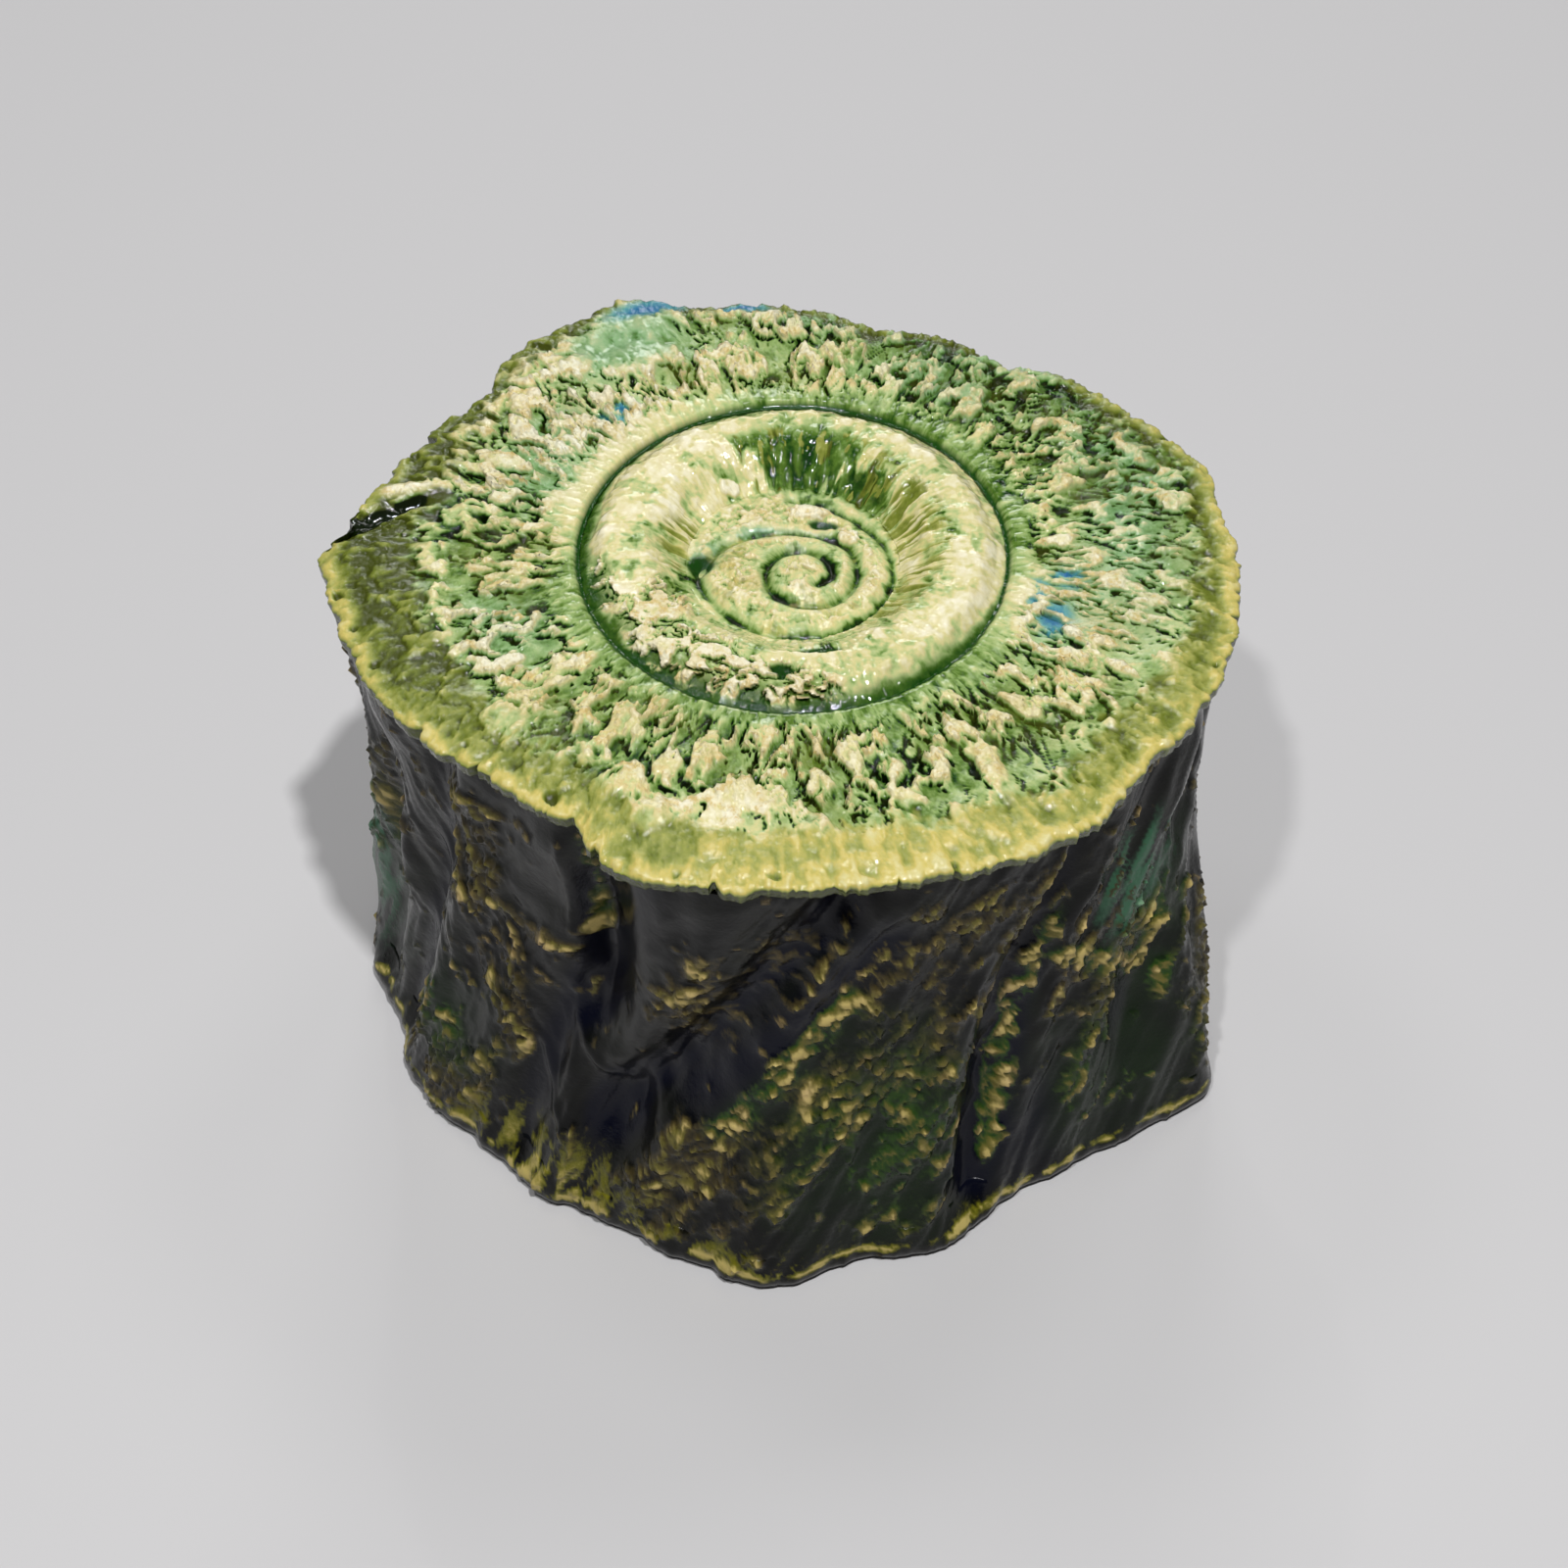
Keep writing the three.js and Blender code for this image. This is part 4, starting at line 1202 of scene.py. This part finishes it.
def dark_glaze(name):
    """Near-black glossy glaze that breaks to ochre and green where the clay stands out."""
    f = Finish(name)
    fine = f.cloud(1.0, 5, 0.7)
    blotch = f.cloud(9, 3)
    black = f.mix(f.range(blotch, 0.35, 0.7), SOOT, GREEN_BLACK)
    green = f.patchy("green", blotch, 0.9, 0.25, 1.1)
    mottle = f.patchy("mottle", fine, 0.9, 0.4, 1.2)
    body = f.mix(f.times(mottle, 0.75), black, f.mix(green, DARK_BROWN, DARK_GREEN))
    body = f.mix(f.times(green, 0.5), body, MOSS)
    body = f.mix(f.value("navy"), body, NAVY)
    crust = f.wobble(f.value("crust"), fine, 0.5)
    warm = f.patchy("olive", blotch, 0.8, 0.2, 0.9)
    tips = f.mix(warm, SAND, YELLOW_SAND)
    brown = f.mix(warm, BROWN, OLIVE_BROWN)
    turquoise = f.patchy("turquoise", fine, 0.6, 0.2, 0.9)
    body = f.mix(f.times(turquoise, 0.85), body, JADE)
    tips = f.mix(turquoise, tips, PALE_JADE)
    brown = f.mix(turquoise, brown, LIGHT_JADE)
    low = f.mix(green, LOW_BROWN, LOW_GREEN)
    colour = f.mix(f.range(crust, 0.08, 0.35), body, low)
    colour = f.mix(f.range(crust, 0.3, 0.65), colour, brown)
    colour = f.mix(f.range(crust, 0.6, 1.05), colour, tips)
    rim = f.wobble(f.value("rim"), fine, 0.7)
    colour = f.mix(f.range(rim, 0.15, 0.6), colour, RIM_OLIVE)
    colour = f.mix(f.range(rim, 0.5, 1.0), colour, RIM_SAND)
    # Painted shade below the lip's ochre line, where it turns under towards the floor
    colour = f.mix(f.value("under"), colour, MOUTH_PAINTED_SHADE)
    normal = f.bump(fine, 0.14, 0.6)
    rough = f.scaled(f.range(crust, 0.2, 0.8), 0.28, 0.15)
    return f.done(colour, rough, normal, 0.0, 0.07, 1.28)


# The inside
LINING_GAUGE = 45
LINING_COAT = 0.5  # thickness
LINING_RAYS = 26
LINING_ROWS = 96
FLOOR_BEND = 8  # how far below its top the lining turns into the floor
THROWING_DEPTH = 0.12
THROWING_PITCH = 6.5


def make_lining(material):
    tree = tree_of("glaze_lining")
    levels = np.linspace(lining_low[2] + 0.1, lining_high[2] - FLOOR_BEND, LINING_RAYS)
    known_r = soften(radius_at(tree, levels, False), 1)
    floor_r = known_r[-1] * np.linspace(0.995, 0.02, LINING_RAYS)[:, None]
    floor_z = height_at(tree, floor_r, False)
    known_r = np.vstack([known_r, floor_r])
    known_z = stack(CAD_COLUMNS, levels[:, None], floor_z)
    place = np.linspace(0, len(known_r) - 1, LINING_ROWS)
    radius, height = read_grid(known_r, place, LINING_COLUMNS), read_grid(known_z, place, LINING_COLUMNS)
    angle = angles(LINING_COLUMNS)[None, :]
    throwing = np.sin(height * math.tau / THROWING_PITCH + 1.5 * np.sin(angle)) * smooth(8, 14, height)
    pool = clouds((angle, height, LINING_GAUGE), (14, 10), 3, 77)
    inner = radius - THROWING_DEPTH * throwing
    outer_z = height + LINING_COAT * smooth(60, 70, height)
    points = wrap(np.vstack([(radius + LINING_COAT)[::-1], inner]), np.vstack([outer_z[::-1], height]))
    values = {"pool": np.vstack([pool[::-1], pool]), "depth": points[..., 2]}
    centre = floor_z[-1].mean()
    piece = shell("lining_glazed", points, values, (centre + LINING_COAT, centre))
    settle(piece, "glaze_lining", material)


def lining_glaze():
    f = Finish("lining_glaze")
    cloud = f.cloud(12, 4)
    colour = f.mix(f.patchy("pool", cloud, 1.2, 0.1, 0.7), INNER_BLACK, INNER_GREEN)
    near_mouth = f.patchy("depth", cloud, 14, 20, 8)
    colour = f.mix(near_mouth, colour, INNER_OLIVE)
    rough = f.scaled(cloud, 0.15, 0.1)
    return f.done(colour, rough, f.bump(f.cloud(1.4), 0.08, 0.4), 1.0, 0.05, 1.55)


def clay():
    f = Finish("clay")
    colour = f.ramp(f.cloud(1.5, 5), [(0.3, CLAY_BROWN), (0.6, CLAY_TAN)])
    rough = f.scaled(f.cloud(3), 0.2, 0.6)
    return f.done(colour, rough, f.bump(f.cloud(0.6), 0.2), 0.0)


foot_crust = crust_glaze("foot_glaze")
make_slab(crust_glaze("slab_glaze"))
make_ring(foot_crust)
make_boss(foot_crust)
make_wall(dark_glaze("wall_glaze"))
make_lip(dark_glaze("lip_glaze"))
make_lining(lining_glaze())
bare_clay = clay()
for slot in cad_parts["corner_coil"].material_slots:
    slot.material = bare_clay


# The camera and the studio
PHOTO_PIXELS = 1600
PHOTO_FOCAL_PIXELS = 5000
CAMERA_TILT = 48.0
CAMERA_PLACE = np.array([-1.166, -456.448, 540.847])
SENSOR = 36.0
CAMERA_NEAR = 0.01
FLOOR_REACH = 4.0
FLOOR_GREY = paint(200, 199, 200)
FLOOR_ROUGHNESS = 0.6
SKY = 0.08
LAMP_TARGET = Vector((0, 0, 0.05))

# Lamps: place and size in metres, power in watts.
LAMPS = {
    "key": ((0.1, -0.42, 1.2), 0.05, 9.8),
    "front_left": ((-0.16, -0.5, 1.15), 0.05, 4.2),
    "back_left": ((-0.4, 0.45, 1.15), 0.3, 1.0),
    "back_right": ((0.35, 0.55, 1.15), 0.3, 1.0),
    "back": ((-0.15, 1.0, 1.05), 0.05, 0.5),
    "window": ((0.0, 1.5, 0.75), 0.6, 4.5),
}


def make_camera():
    data = bpy.data.cameras.new("camera")
    data.sensor_width = SENSOR
    data.lens = PHOTO_FOCAL_PIXELS / PHOTO_PIXELS * SENSOR
    data.clip_start = CAMERA_NEAR
    camera = new_object("camera", data)
    camera.location = (CAMERA_PLACE + np.append(AXIS, 0)) * MM
    camera.rotation_euler = (math.radians(90 - CAMERA_TILT), 0, 0)
    bpy.context.scene.camera = camera


def make_lamp(name, place, size, power):
    data = bpy.data.lights.new(name, "AREA")
    data.shape = "DISK"
    data.size = size
    data.energy = power
    lamp = new_object(name, data)
    lamp.location = place
    lamp.rotation_euler = (LAMP_TARGET - Vector(place)).to_track_quat("-Z", "Y").to_euler()


def make_floor():
    corners = [(x * FLOOR_REACH, y * FLOOR_REACH, 0) for x, y in ((-1, -1), (1, -1), (1, 1), (-1, 1))]
    mesh = bpy.data.meshes.new("floor")
    mesh.from_pydata(corners, [], [(0, 1, 2, 3)])
    floor = new_object("floor", mesh)
    f = Finish("floor")
    f.put(f.shader.inputs["Base Color"], FLOOR_GREY)
    f.put(f.shader.inputs["Roughness"], FLOOR_ROUGHNESS)
    mesh.materials.append(f.material)


def make_world():
    world = bpy.data.worlds.new("world")
    world.use_nodes = True
    background = world.node_tree.nodes["Background"]
    background.inputs["Color"].default_value = (1, 1, 1, 1)
    background.inputs["Strength"].default_value = SKY
    bpy.context.scene.world = world


make_camera()
make_floor()
for lamp_name, (lamp_place, lamp_size, lamp_power) in LAMPS.items():
    make_lamp(lamp_name, lamp_place, lamp_size, lamp_power)
make_world()
bpy.context.scene.view_settings.view_transform = "Standard"
